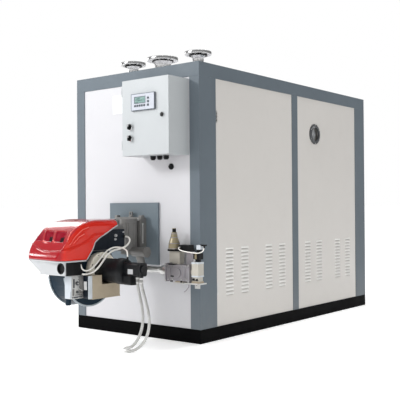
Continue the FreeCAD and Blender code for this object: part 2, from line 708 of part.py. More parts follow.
# ---------------------------------------------------------------- hoses and leads
HOSE_A = [
    (419, -1577, 450), (419, -1577, 405), (431, -1575, 350), (448, -1573, 288),
    (457, -1571, 225), (453, -1571, 165), (436, -1572, 112), (411, -1575, 68),
    (381, -1578, 36), (348, -1574, 17.5), (314, -1570, 10.8),
]
HOSE_B = [
    (462, -1589, 450), (462, -1589, 408), (480, -1590, 360), (502, -1592, 305),
    (521, -1593, 250), (529, -1593, 195), (521, -1592, 140), (500, -1593, 92),
    (473, -1600, 54), (445, -1610, 28), (418, -1622, 15), (391, -1634, 10.8),
]
BURNER_CABLE = [
    (118, -1388, 684), (148, -1388, 684), (179, -1393, 672), (194, -1411, 646),
    (191, -1445, 621), (186, -1492, 610), (182, -1545, 604), (182, -1594, 580),
    (187, -1638, 542), (189, -1680, 503), (180, -1722, 474), (156, -1757, 465),
    (127, -1786, 476), (104, -1806, 508), (104, -1806, 548),
]
PUMP_CABLE = [
    (142, -1782, 548), (142, -1782, 508), (156, -1755, 485), (168, -1715, 498),
    (173, -1675, 532), (173, -1632, 572), (171, -1590, 603), (181, -1550, 621),
    (211, -1530, 624), (250, -1535, 620), (292, -1552, 614), (332, -1575, 606),
    (350, -1590, 579), (350, -1590, 552),
]
VALVE_CABLE = [
    (488, -1250, 619), (488, -1272, 619), (503, -1293, 609), (532, -1299, 599),
    (567, -1299, 594), (602, -1298, 591), (634, -1295, 588), (660, -1284, 586),
    (682, -1260, 602), (682, -1260, 630),
]


def end_fitting(points):
    a = V(*points[-2])
    b = V(*points[-1])
    way = (b - a).normalize()
    nut = Part.makeCylinder(8, 8, b, way)
    nipple = Part.makeCylinder(5, 24, b, way)
    return nut.fuse(nipple)


def make_cords():
    tube_along("oil_hose_supply", HOSE_A, HOSE_D)
    tube_along("oil_hose_return", HOSE_B, HOSE_D)
    save("hose_end_fittings", Part.makeCompound([end_fitting(HOSE_A), end_fitting(HOSE_B)]))
    tube_along("burner_cable", BURNER_CABLE, BURNER_CABLE_D)
    tube_along("pump_cable", PUMP_CABLE, PUMP_CABLE_D)
    tube_along("valve_cable", VALVE_CABLE, VALVE_CABLE_D)


os.makedirs("parts", exist_ok=True)
make_skid()
make_frame()
make_end_panels()
make_side_panels()
make_port()
make_vessel()
make_roof()
make_connections()
make_control_box()
make_control_door()
make_door_fittings()
make_burner_head()
make_hood()
make_lower_casing()
make_fan()
make_motor()
make_intake()
make_gas_train()
make_cords()
print("nodes", len(PARTS))
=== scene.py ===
import bpy
import bmesh
import json
import math
from mathutils import Matrix, Vector


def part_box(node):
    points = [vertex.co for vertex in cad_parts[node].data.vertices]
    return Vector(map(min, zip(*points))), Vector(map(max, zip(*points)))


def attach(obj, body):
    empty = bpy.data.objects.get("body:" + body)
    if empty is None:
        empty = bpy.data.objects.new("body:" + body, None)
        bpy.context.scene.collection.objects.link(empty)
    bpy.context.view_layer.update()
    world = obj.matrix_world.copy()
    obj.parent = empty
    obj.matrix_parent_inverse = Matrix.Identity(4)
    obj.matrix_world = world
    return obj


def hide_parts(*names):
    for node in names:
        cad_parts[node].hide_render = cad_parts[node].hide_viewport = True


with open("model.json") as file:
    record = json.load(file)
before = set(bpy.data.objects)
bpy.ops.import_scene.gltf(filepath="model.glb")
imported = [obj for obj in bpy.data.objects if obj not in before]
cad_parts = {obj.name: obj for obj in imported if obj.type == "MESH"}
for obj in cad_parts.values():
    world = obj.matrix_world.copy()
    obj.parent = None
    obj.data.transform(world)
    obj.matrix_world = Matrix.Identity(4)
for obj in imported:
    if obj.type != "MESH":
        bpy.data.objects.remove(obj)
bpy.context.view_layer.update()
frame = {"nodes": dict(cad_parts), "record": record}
NODES = frame["nodes"]
MM = 0.001
X, Y, Z = Vector((1, 0, 0)), Vector((0, 1, 0)), Vector((0, 0, 1))


def corners(node):
    """Lowest and highest corner of a CAD node, in millimetres."""
    low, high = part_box(node)
    return low / MM, high / MM


# ------------------------------------------------------------------ camera
def make_camera():
    azimuth = math.radians(38.565)
    pitch = math.radians(0.436)
    roll = math.radians(-0.407)
    level = math.cos(pitch)
    ahead = Vector((-math.sin(azimuth) * level, math.cos(azimuth) * level, math.sin(pitch)))
    right = Vector((math.cos(azimuth), math.sin(azimuth), 0))
    up = right.cross(ahead)
    turned = right * math.cos(roll) + up * math.sin(roll)
    up = up * math.cos(roll) - right * math.sin(roll)
    data = bpy.data.cameras.new("camera")
    data.lens = 66.77
    data.sensor_width = 36
    camera = bpy.data.objects.new("camera", data)
    matrix = Matrix((turned, up, -ahead)).transposed().to_4x4()
    matrix.translation = Vector((3.503, -4.836, 0.879))
    camera.matrix_world = matrix
    bpy.context.scene.collection.objects.link(camera)
    bpy.context.scene.camera = camera


# ------------------------------------------------------------------ materials
def srgb(r, g, b):
    """A colour given as 0-255 display values, in linear light."""
    out = []
    for c in (r, g, b):
        c /= 255
        out.append(c / 12.92 if c <= 0.04045 else ((c + 0.055) / 1.055) ** 2.4)
    return (*out, 1)


class Graph:
    """A short way to write a material's nodes."""

    def __init__(self, name):
        self.material = bpy.data.materials.new(name)
        self.material.use_nodes = True
        self.tree = self.material.node_tree
        self.shader = self.tree.nodes["Principled BSDF"]
        self.place = self.add("ShaderNodeTexCoord").outputs["Object"]

    def add(self, kind, **values):
        node = self.tree.nodes.new(kind)
        for key, value in values.items():
            setattr(node, key, value)
        return node

    def link(self, a, b):
        self.tree.links.new(a, b)

    def feed(self, socket, value):
        if isinstance(value, bpy.types.NodeSocket):
            self.link(value, socket)
        else:
            socket.default_value = value

    def noise(self, scale, detail=4.0, rough=0.55, stretch=None):
        node = self.add("ShaderNodeTexNoise")
        node.inputs["Scale"].default_value = scale
        node.inputs["Detail"].default_value = detail
        node.inputs["Roughness"].default_value = rough
        place = self.place
        if stretch:
            mapping = self.add("ShaderNodeMapping")
            mapping.inputs["Scale"].default_value = stretch
            self.link(place, mapping.inputs["Vector"])
            place = mapping.outputs["Vector"]
        self.link(place, node.inputs["Vector"])
        return node.outputs["Fac"]

    def math(self, what, a, b=0.0):
        node = self.add("ShaderNodeMath", operation=what)
        self.feed(node.inputs[0], a)
        self.feed(node.inputs[1], b)
        return node.outputs[0]

    def between(self, value, low, high, to_low=0.0, to_high=1.0):
        node = self.add("ShaderNodeMapRange")
        for key, v in (("From Min", low), ("From Max", high), ("To Min", to_low), ("To Max", to_high)):
            node.inputs[key].default_value = v
        self.link(value, node.inputs["Value"])
        return node.outputs["Result"]

    def mix(self, amount, a, b):
        node = self.add("ShaderNodeMix", data_type="RGBA")
        self.feed(node.inputs["Factor"], amount)
        self.feed(node.inputs[6], a)
        self.feed(node.inputs[7], b)
        return node.outputs[2]

    def height(self):
        node = self.add("ShaderNodeSeparateXYZ")
        self.link(self.place, node.inputs[0])
        return node.outputs["Z"]

    def bump(self, value, depth, before=None):
        node = self.add("ShaderNodeBump")
        node.inputs["Distance"].default_value = depth
        self.link(value, node.inputs["Height"])
        if before:
            self.link(before, node.inputs["Normal"])
        return node.outputs["Normal"]

    def edge(self, radius):
        """1 along the piece's sharp edges and 0 elsewhere."""
        bevel = self.add("ShaderNodeBevel", samples=4)
        bevel.inputs["Radius"].default_value = radius
        plain = self.add("ShaderNodeNewGeometry")
        dot = self.add("ShaderNodeVectorMath", operation="DOT_PRODUCT")
        self.link(bevel.outputs["Normal"], dot.inputs[0])
        self.link(plain.outputs["Normal"], dot.inputs[1])
        return self.between(dot.outputs["Value"], 0.985, 0.80)


def shade(colour, factor):
    return tuple(c * factor for c in colour[:3]) + (1,)


def coat(name, colour, rough, metal=0.0, patch=0.05, patch_scale=2.2, rough_spread=0.08,
         peel=0.0, peel_scale=900.0, grain=None, dust=0.0, dust_top=0.35, wear=0.0,
         wear_colour=(150, 150, 150), gloss_coat=0.0, specular=0.5):
    """A painted, moulded or metal surface.

    patch is how much the colour wanders, peel the depth of the paint's fine texture, dust how much
    settles below dust_top metres, wear how far the edges are rubbed, and specular how strongly the
    surface mirrors.
    """
    g = Graph(name)
    cloud = g.noise(patch_scale, 5)
    fine = g.noise(peel_scale, 2)
    marks = g.noise(9.0, 8, 0.7, grain)
    tone = g.mix(g.between(cloud, 0.32, 0.68), shade(colour, 1 - patch), shade(colour, 1 + patch))
    tone = g.mix(g.between(marks, 0.52, 0.75, 0, patch * 3), tone, shade(colour, 0.72))
    if dust:
        low = g.between(g.height(), dust_top, 0.0)
        amount = g.math("MULTIPLY", low, g.between(g.noise(14, 6), 0.3, 0.7, 0.35, 1.0))
        tone = g.mix(g.math("MULTIPLY", amount, dust), tone, srgb(168, 160, 148))
    if wear:
        rubbed = g.math("MULTIPLY", g.edge(0.0022), g.between(g.noise(60, 4), 0.45, 0.62))
        tone = g.mix(g.math("MULTIPLY", rubbed, wear), tone, srgb(*wear_colour))
    g.link(tone, g.shader.inputs["Base Color"])
    g.link(g.between(marks, 0.3, 0.7, rough - rough_spread, rough + rough_spread),
           g.shader.inputs["Roughness"])
    g.shader.inputs["Metallic"].default_value = metal
    g.shader.inputs["Specular IOR Level"].default_value = specular
    if gloss_coat:
        g.shader.inputs["Coat Weight"].default_value = gloss_coat
        g.shader.inputs["Coat Roughness"].default_value = 0.04
    normal = g.bump(cloud, 0.0006)
    if peel:
        normal = g.bump(fine, peel, normal)
    g.link(normal, g.shader.inputs["Normal"])
    return g.material


def braided(name):
    """Silver wire braid: two sets of strands that wind round the hose in opposite ways."""
    g = Graph(name)
    uv = g.add("ShaderNodeTexCoord").outputs["UV"]
    split = g.add("ShaderNodeSeparateXYZ")
    g.link(uv, split.inputs[0])
    along = g.math("MULTIPLY", split.outputs["X"], 90.0)
    round_it = g.math("MULTIPLY", split.outputs["Y"], 8.0)
    ways = []
    for what in ("ADD", "SUBTRACT"):
        wave = g.math("SINE", g.math("MULTIPLY", g.math(what, along, round_it), 2 * math.pi))
        ways.append(g.between(wave, -1, 1))
    weave = g.math("MAXIMUM", *ways)
    tone = g.mix(weave, srgb(84, 84, 84), srgb(214, 214, 212))
    g.link(g.mix(g.between(g.noise(30), 0.4, 0.8, 0, 0.35), tone, srgb(120, 116, 108)),
           g.shader.inputs["Base Color"])
    g.shader.inputs["Metallic"].default_value = 0.75
    g.shader.inputs["Roughness"].default_value = 0.36
    g.link(g.bump(weave, 0.0008), g.shader.inputs["Normal"])
    return g.material


def display_face(name):
    """Green-grey liquid crystal behind a clear window."""
    g = Graph(name)
    cells = g.noise(1400, 1)
    glow = g.between(g.noise(25, 2), 0.35, 0.65)
    tone = g.mix(glow, srgb(112, 142, 138), srgb(142, 168, 163))
    g.link(g.mix(g.between(cells, 0.5, 0.6, 0, 0.12), tone, srgb(80, 104, 96)),
           g.shader.inputs["Base Color"])
    g.shader.inputs["Roughness"].default_value = 0.18
    g.shader.inputs["Coat Weight"].default_value = 0.6
    g.link(g.bump(cells, 0.00005), g.shader.inputs["Normal"])
    return g.material


def sight_glass(name):
    """Pale grey glass clouded by noise under a clear coat: the pale colour is painted reflection."""
    g = Graph(name)
    cloud = g.noise(40, 3)
    # painted reflection: the glass is given a pale grey base colour
    g.link(g.mix(g.between(cloud, 0.35, 0.7), srgb(130, 133, 135), srgb(216, 219, 220)),
           g.shader.inputs["Base Color"])
    g.shader.inputs["Roughness"].default_value = 0.12
    g.shader.inputs["Coat Weight"].default_value = 1.0
    g.link(g.bump(cloud, 0.0010), g.shader.inputs["Normal"])
    return g.material


def hood_paint(name):
    """Gloss red under a clear coat, with painted shade and light: darker bluish crimson on the
    forward-facing nose, lighter orange-red on the flanks.
    """
    g = Graph(name)
    normal = g.add("ShaderNodeTexCoord").outputs["Normal"]
    split = g.add("ShaderNodeSeparateXYZ")
    g.link(normal, split.inputs[0])
    # painted shade and light: how far the surface faces sideways picks between the shaded nose colour and
    # the lit flank colour
    flank_shading = g.between(g.math("ABSOLUTE", split.outputs["X"]), 0.45, 0.85)
    cloud = g.noise(4, 5)
    tone = g.mix(flank_shading, srgb(150, 8, 22), srgb(206, 34, 16))
    g.link(g.mix(g.between(cloud, 0.35, 0.7, 0, 0.14), tone, srgb(120, 6, 12)),
           g.shader.inputs["Base Color"])
    g.link(g.between(g.noise(60, 6), 0.3, 0.7, 0.16, 0.26), g.shader.inputs["Roughness"])
    g.shader.inputs["Specular IOR Level"].default_value = 0.2
    g.shader.inputs["Coat Weight"].default_value = 0.45
    g.shader.inputs["Coat Roughness"].default_value = 0.04
    g.link(g.bump(g.noise(600, 2), 0.00002, g.bump(cloud, 0.0006)), g.shader.inputs["Normal"])
    return g.material


def make_materials():
    made = {
        "frame_paint": coat("frame_paint", srgb(96, 105, 112), 0.42, patch=0.05, peel=0.00008,
                            dust=0.12, wear=0.35, wear_colour=(150, 158, 163), specular=0.15),
        "panel_paint": coat("panel_paint", srgb(191, 191, 194), 0.36, patch=0.018, patch_scale=1.2,
                            peel=0.00006, dust=0.10, wear=0.25, wear_colour=(190, 190, 188), specular=0.3),
        "skid_paint": coat("skid_paint", srgb(8, 8, 9), 0.55, patch=0.10, peel=0.00015,
                           dust=0.0, dust_top=0.10, wear=0.2, wear_colour=(86, 84, 82), specular=0.03),
        "vessel_jacket": coat("vessel_jacket", srgb(150, 152, 154), 0.5, metal=0.6, patch=0.08,
                              peel=0.0004, peel_scale=220),
        "flange_steel": coat("flange_steel", srgb(206, 206, 206), 0.22, metal=0.95, patch=0.05,
                             grain=(1, 1, 30), peel=0.00003, wear=0.2, wear_colour=(235, 235, 235)),
        "box_paint": coat("box_paint", srgb(174, 178, 180), 0.40, patch=0.02, peel=0.00014,
                          peel_scale=700, wear=0.2, wear_colour=(200, 200, 200), specular=0.3),
        "controller_plastic": coat("controller_plastic", srgb(176, 180, 189), 0.5, patch=0.03,
                                   peel=0.00005, peel_scale=1500),
        "display_glass": display_face("display_glass"),
        "black_plastic": coat("black_plastic", srgb(16, 17, 19), 0.42, patch=0.12, patch_scale=20,
                              peel=0.00006, peel_scale=1400, wear=0.3, wear_colour=(70, 70, 72),
                              specular=0.2),
        "chrome_trim": coat("chrome_trim", srgb(222, 222, 222), 0.10, metal=1.0, patch=0.02,
                            rough_spread=0.04),
        "plate_paint": coat("plate_paint", srgb(100, 111, 118), 0.40, patch=0.07, peel=0.00010,
                            dust=0.05, wear=0.4, wear_colour=(140, 148, 152), specular=0.3),
        "cast_aluminium": coat("cast_aluminium", srgb(124, 123, 121), 0.48, metal=0.35, patch=0.10,
                               patch_scale=12, peel=0.0005, peel_scale=380, wear=0.5,
                               wear_colour=(180, 180, 178), specular=0.35),
        "hood_red": hood_paint("hood_red"),
        # painted shade: dark crimson for the faces inside the hood's pockets
        "hood_recess_shade": coat("hood_recess_shade", srgb(126, 4, 28), 0.35, patch=0.08, patch_scale=16,
                            specular=0.06),
        # painted shade: near-black for the lower right of each deep pocket, for the opening there
        "hood_opening_shade": coat("hood_opening_shade", srgb(26, 6, 10), 0.5, patch=0.10, specular=0.1),
        # painted highlight: pale pink for the crests of the hood's ridges and the lips under its pockets
        "hood_crest_highlight": coat("hood_crest_highlight", srgb(226, 104, 96), 0.25, patch=0.06, patch_scale=10,
                           specular=0.4),
        "casing_white": coat("casing_white", srgb(174, 176, 178), 0.34, patch=0.03, patch_scale=6,
                             peel=0.00004, wear=0.2, wear_colour=(190, 190, 190)),
        "fan_blue": coat("fan_blue", srgb(12, 34, 48), 0.38, patch=0.06, patch_scale=8,
                         peel=0.0002, peel_scale=420, wear=0.4, wear_colour=(120, 130, 138), specular=0.15),
        "disc_cream": coat("disc_cream", srgb(250, 246, 230), 0.42, patch=0.05, patch_scale=10,
                           peel=0.0002, peel_scale=420, wear=0.3, wear_colour=(170, 168, 160), specular=0.3),
        "motor_black": coat("motor_black", srgb(14, 16, 19), 0.40, patch=0.15, patch_scale=9,
                            peel=0.0002, peel_scale=500, wear=0.45, wear_colour=(84, 86, 88), specular=0.25),
        "intake_beige": coat("intake_beige", srgb(162, 150, 130), 0.48, patch=0.06, patch_scale=8,
                             peel=0.0002, peel_scale=500, dust=0.2, wear=0.4,
                             wear_colour=(190, 184, 170), specular=0.3),
        "navy_plastic": coat("navy_plastic", srgb(20, 28, 38), 0.35, patch=0.10, patch_scale=14,
                             peel=0.00005, peel_scale=1300, wear=0.3, wear_colour=(76, 84, 92),
                             specular=0.25),
        "train_alloy": coat("train_alloy", srgb(150, 147, 151), 0.42, metal=0.55, patch=0.10,
                            patch_scale=18, peel=0.0004, peel_scale=420, wear=0.5,
                            wear_colour=(205, 205, 205), specular=0.4),
        "galvanised": coat("galvanised", srgb(198, 198, 196), 0.30, metal=0.9, patch=0.12,
                           patch_scale=26, peel=0.00005, wear=0.3, wear_colour=(230, 230, 230)),
        "amber_alloy": coat("amber_alloy", srgb(140, 130, 104), 0.38, metal=0.3, patch=0.12,
                            patch_scale=18, peel=0.0002, peel_scale=420, wear=0.4,
                            wear_colour=(220, 210, 190)),
        "cream_plastic": coat("cream_plastic", srgb(174, 170, 160), 0.42, patch=0.05,
                              patch_scale=14, peel=0.00005, wear=0.2, wear_colour=(180, 178, 168)),
        "hose_braid": braided("hose_braid"),
        "cable_white": coat("cable_white", srgb(228, 226, 220), 0.45, patch=0.05, patch_scale=16,
                            peel=0.00004, peel_scale=1200),
        "port_glass": sight_glass("port_glass"),
        "port_ring": coat("port_ring", srgb(88, 90, 92), 0.36, metal=0.5, patch=0.12,
                          patch_scale=20, peel=0.0003, peel_scale=500, wear=0.5,
                          wear_colour=(170, 170, 170)),
        "key_plastic": coat("key_plastic", srgb(74, 80, 86), 0.45, patch=0.05, patch_scale=20,
                            specular=0.25),
        "rim_plastic": coat("rim_plastic", srgb(92, 100, 108), 0.45, patch=0.04, specular=0.3),
        "display_ink": coat("display_ink", srgb(40, 58, 54), 0.4, patch=0.05, specular=0.2),
        "fan_rim": coat("fan_rim", srgb(150, 160, 166), 0.32, metal=0.5, patch=0.08, patch_scale=14,
                        peel=0.0001, peel_scale=500),
        "strip_grey": coat("strip_grey", srgb(184, 190, 196), 0.34, patch=0.05, patch_scale=14,
                           peel=0.00005, specular=0.35),
        # painted light: a warmer, slightly lighter copy of the panel paint for the side cladding, standing
        # in for the warmer light on the sides
        "side_lit_paint": coat("side_lit_paint", srgb(198, 195, 191), 0.36, patch=0.022, patch_scale=0.9,
                           peel=0.00006, dust=0.10, specular=0.3),
        # painted highlight: the louvre hoods, pressed from the cladding sheet, get a lighter paint than the
        # sheet
        "louvre_lit_paint": coat("louvre_lit_paint", srgb(232, 231, 228), 0.34, patch=0.02, specular=0.4),
        "plate_white": coat("plate_white", srgb(226, 227, 227), 0.30, patch=0.01, specular=0.4),
    }
    return made


# ------------------------------------------------------------------ pieces in mesh code
def frame_of(direction):
    """Two directions square to the given one."""
    ahead = Vector(direction).normalized()
    side = ahead.cross(Z if abs(ahead.z) < 0.9 else X).normalized()
    return ahead, side, ahead.cross(side)


class Piece:
    """The vertices and faces of one piece, gathered in millimetres."""

    def __init__(self):
        self.points = []
        self.faces = []

    def add(self, points, faces):
        base = len(self.points)
        self.points += [Vector(p) for p in points]
        self.faces += [[base + i for i in face] for face in faces]
        return self

    def slab(self, low, high):
        (x0, y0, z0), (x1, y1, z1) = low, high
        points = [(x, y, z) for x in (x0, x1) for y in (y0, y1) for z in (z0, z1)]
        faces = [(0, 1, 3, 2), (4, 6, 7, 5), (0, 4, 5, 1), (2, 3, 7, 6), (0, 2, 6, 4), (1, 5, 7, 3)]
        return self.add(points, faces)

    def turned(self, start, direction, profile, sides=40, turn=0.0):
        """A turned shape: profile is (distance along the axis, radius) from end to end."""
        ahead, side, up = frame_of(direction)
        start = Vector(start)
        points = []
        for along, radius in profile:
            for k in range(sides):
                a = 2 * math.pi * k / sides + turn
                points.append(start + ahead * along + (side * math.cos(a) + up * math.sin(a)) * radius)
        faces = []
        for i in range(len(profile) - 1):
            for k in range(sides):
                j = (k + 1) % sides
                faces.append((i * sides + k, (i + 1) * sides + k, (i + 1) * sides + j, i * sides + j))
        faces.append(list(range(sides)))
        last = (len(profile) - 1) * sides
        faces.append([last + k for k in reversed(range(sides))])
        return self.add(points, faces)

    def screw(self, at, direction, radius, high, sides=6):
        """A screw head or nut that stands on a surface."""
        edge = radius * 0.16
        profile = [(0, radius), (high - edge, radius), (high, radius - edge)]
        return self.turned(at, direction, profile, sides)

    def bar(self, path, radius, sides=10):
        """A round bar along straight runs."""
        path = [Vector(p) for p in path]
        points = []
        for i, p in enumerate(path):
            before = path[i] - path[i - 1] if i else path[1] - path[0]
            after = path[i + 1] - path[i] if i < len(path) - 1 else before
            _, side, up = frame_of(before.normalized() + after.normalized())
            for k in range(sides):
                a = 2 * math.pi * k / sides
                points.append(p + (side * math.cos(a) + up * math.sin(a)) * radius)
        faces = [list(range(sides))]
        for i in range(len(path) - 1):
            for k in range(sides):
                j = (k + 1) % sides
                faces.append((i * sides + k, (i + 1) * sides + k, (i + 1) * sides + j, i * sides + j))
        faces.append([(len(path) - 1) * sides + k for k in reversed(range(sides))])
        return self.add(points, faces)

    def done(self, name, slot, body="boiler", bevel=0.0, replaces=(), smooth=35.0):
        mesh = bpy.data.meshes.new(name)
        mesh.from_pydata([p * MM for p in self.points], [], self.faces)
        tidy = bmesh.new()
        tidy.from_mesh(mesh)
        bmesh.ops.recalc_face_normals(tidy, faces=tidy.faces)
        tidy.to_mesh(mesh)
        tidy.free()
        return finish_piece(name, mesh, slot, body, bevel, replaces, smooth)


def finish_piece(name, mesh, slot, body="boiler", bevel=0.0, replaces=(), smooth=35.0):
    obj = bpy.data.objects.new(name, mesh)
    bpy.context.scene.collection.objects.link(obj)
    mesh.materials.clear()
    mesh.materials.append(MATERIALS[slot])
    mesh.shade_smooth()
    mesh.set_sharp_from_angle(angle=math.radians(smooth))
    if bevel:
        soften(obj, bevel)
    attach(obj, body)
    if replaces:
        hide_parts(*replaces)
    return obj


def soften(obj, width):
    """Rounds the sharp edges a little, as folding, casting or moulding leaves them."""
    bevel = obj.modifiers.new("edges", "BEVEL")
    bevel.width = width * MM
    bevel.segments = 2
    bevel.limit_method = "ANGLE"
    bevel.angle_limit = math.radians(30)
    bevel.use_clamp_overlap = True
    bevel.harden_normals = True


# ------------------------------------------------------------------ hoses and leads
SUPPLY_HOSE = [
    (0.419, -1.577, 0.450), (0.419, -1.577, 0.405), (0.431, -1.575, 0.350), (0.448, -1.573, 0.288),
    (0.457, -1.571, 0.225), (0.453, -1.571, 0.165), (0.436, -1.572, 0.112), (0.411, -1.575, 0.068),
    (0.381, -1.578, 0.036), (0.348, -1.574, 0.0175), (0.314, -1.570, 0.0108),
]
RETURN_HOSE = [
    (0.462, -1.589, 0.450), (0.462, -1.589, 0.408), (0.480, -1.590, 0.360), (0.502, -1.592, 0.305),
    (0.521, -1.593, 0.250), (0.529, -1.593, 0.195), (0.521, -1.592, 0.140), (0.500, -1.593, 0.092),
    (0.473, -1.600, 0.054), (0.445, -1.610, 0.028), (0.418, -1.622, 0.015), (0.391, -1.634, 0.0108),
]
BURNER_LEAD = [
    (0.118, -1.388, 0.684), (0.148, -1.388, 0.684), (0.179, -1.393, 0.672), (0.194, -1.411, 0.646),
    (0.191, -1.445, 0.621), (0.186, -1.492, 0.610), (0.182, -1.545, 0.604), (0.182, -1.594, 0.580),
    (0.187, -1.638, 0.542), (0.189, -1.680, 0.503), (0.180, -1.722, 0.474), (0.156, -1.757, 0.465),
    (0.127, -1.786, 0.476), (0.104, -1.806, 0.508), (0.104, -1.806, 0.548),
]
PUMP_LEAD = [
    (0.142, -1.782, 0.548), (0.142, -1.782, 0.508), (0.156, -1.755, 0.485), (0.168, -1.715, 0.498),
    (0.173, -1.675, 0.532), (0.173, -1.632, 0.572), (0.171, -1.590, 0.603), (0.181, -1.550, 0.621),
    (0.211, -1.530, 0.624), (0.250, -1.535, 0.620), (0.292, -1.552, 0.614), (0.332, -1.575, 0.606),
    (0.350, -1.590, 0.579), (0.350, -1.590, 0.552),
]
VALVE_LEAD = [
    (0.488, -1.250, 0.619), (0.488, -1.272, 0.619), (0.503, -1.293, 0.609), (0.532, -1.299, 0.599),
    (0.567, -1.299, 0.594), (0.602, -1.298, 0.591), (0.634, -1.295, 0.588), (0.660, -1.284, 0.586),
    (0.682, -1.260, 0.602), (0.682, -1.260, 0.630),
]


def cord_curve(name, route, diameter, slot):
    data = bpy.data.curves.new(name, "CURVE")
    data.dimensions = "3D"
    data.bevel_depth = diameter / 2
    data.bevel_resolution = 5
    data.resolution_u = 10
    data.use_fill_caps = True
    spline = data.splines.new("NURBS")
    spline.points.add(len(route) - 1)
    for point, place in zip(spline.points, route):
        point.co = (*place, 1)
    spline.order_u = 3
    spline.use_endpoint_u = True
    data.materials.append(MATERIALS[slot])
    obj = bpy.data.objects.new(name, data)
    bpy.context.scene.collection.objects.link(obj)
    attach(obj, "boiler")
    return obj


def relief(name, at, direction, diameter, long, slot="black_plastic"):
    """A tapered, ribbed strain relief where a lead leaves a housing."""
    r = diameter / 2 / MM
    profile = [(0, r + 3.5), (3, r + 3.5), (3.5, r + 2.4)]
    ribs = 4
    for k in range(ribs):
        start = 4 + (long - 6) * k / ribs
        fall = 2.0 * (1 - k / ribs)
        profile += [(start, r + 0.6 + fall), (start + 1.6, r + 0.6 + fall),
                    (start + 2.2, r + 0.3 + fall * 0.5)]
    profile.append((long, r + 0.25))
    return Piece().turned(Vector(at) / MM, direction, profile, 20).done(name, slot)


def make_cords():
    hose, burner, pump, valve = 0.018, 0.012, 0.009, 0.0065
    for name, node, route, length, lay in (
        ("supply_hose", "oil_hose_supply", SUPPLY_HOSE, 0.511, "hanging"),
        ("return_hose", "oil_hose_return", RETURN_HOSE, 0.521, "hanging"),
    ):
        obj = cord_curve(name, route, hose, "hose_braid")
        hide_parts(node)
        sleeve = Piece()
        top = Vector(route[0]) / MM
        sleeve.turned(top, -Z, [(0, 13), (9, 13), (9.5, 10.4), (12, 10.4), (14, 11.2), (34, 11.2),
                                (36, 9.6)], 24)
        sleeve.turned(top, -Z, [(0.5, 13.6), (10, 13.6)], 6)
        sleeve = sleeve.done(name + "_sleeve", "galvanised", bevel=0.6)
        end, last = Vector(route[-1]) / MM, Vector(route[-2]) / MM
        crimp = Piece().turned(end, (last - end), [(0, 9.6), (1.5, 10.2), (16, 10.2), (18, 9.3)], 24)
        crimp = crimp.done(name + "_crimp", "galvanised")
    for name, node, route, length, width, way, end_way in (
        ("burner_lead", "burner_cable", BURNER_LEAD, 0.626, burner, X, -Z),
        ("pump_lead", "pump_cable", PUMP_LEAD, 0.549, pump, -Z, Z),
        ("valve_lead", "valve_cable", VALVE_LEAD, 0.270, valve, -Y, -Z),
    ):
        obj = cord_curve(name, route, width, "cable_white")
        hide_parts(node)
        long = 20 if name != "valve_lead" else 14
        grip = relief(name + "_relief", route[0], way, width, long)
        end = relief(name + "_end", route[-1], end_way, width, long)


# ------------------------------------------------------------------ cladding panels
LOUVRE_COLUMNS = (-327.0, -150.0, 150.0, 327.0)
LOUVRE_ROWS = 13
LOUVRE_PITCH = 25.0
LOUVRE_Z = 284.0
LOUVRE_W = 86.0
GLAND_X = (240.0, 298.0, 353.0)
GLAND_Y = -1232.0
FAN_CENTRE = (-1651.0, 472.0)
FAN_R = 207.0


def sheet_with_slots(piece, face, back, y_breaks, z_breaks, is_open):
    """A flat insulated panel across x, drawn as a grid of cells, some of them open."""
    for x in (face, back):
        start = len(piece.points)
        piece.points += [Vector((x, y, z)) for y in y_breaks for z in z_breaks]
        wide = len(z_breaks)
        for i in range(len(y_breaks) - 1):
            for j in range(wide - 1):
                if is_open(i, j):
                    continue
                a = start + i * wide + j
                piece.faces.append([a, a + wide, a + wide + 1, a + 1])
    y0, y1, z0, z1 = y_breaks[0], y_breaks[-1], z_breaks[0], z_breaks[-1]
    for (ya, za), (yb, zb) in (((y0, z0), (y1, z0)), ((y1, z0), (y1, z1)), ((y1, z1), (y0, z1)),
                               ((y0, z1), (y0, z0))):
        piece.add([(face, ya, za), (face, yb, zb), (back, yb, zb), (back, ya, za)], [(0, 1, 2, 3)])


def louvre(piece, face, out, y, z):
    """One pressed hood: sunk along its top, swollen below and open underneath."""
    across = 14
    profile = ((17.5, 0.0), (16.0, -1.6), (14.5, -1.8), (12.5, -0.2), (9.5, 2.6), (6.5, 3.7), (4.0, 3.9),
               (2.0, 3.7), (1.4, 1.8), (2.4, -2.0))
    points = []
    for i in range(across + 1):
        u = 2 * i / across - 1
        ends = max(0.0, 1 - abs(u) ** 9) ** 0.5
        for up, proud in profile:
            points.append((face + out * (proud * ends + 0.1), y + u * LOUVRE_W / 2, z + 9 + (up - 9) * (
                0.86 + 0.14 * ends)))
    rows = len(profile)
    faces = [(i * rows + j, i * rows + j + 1, (i + 1) * rows + j + 1, (i + 1) * rows + j)
             for i in range(across) for j in range(rows - 1)]
    piece.add(points, faces)


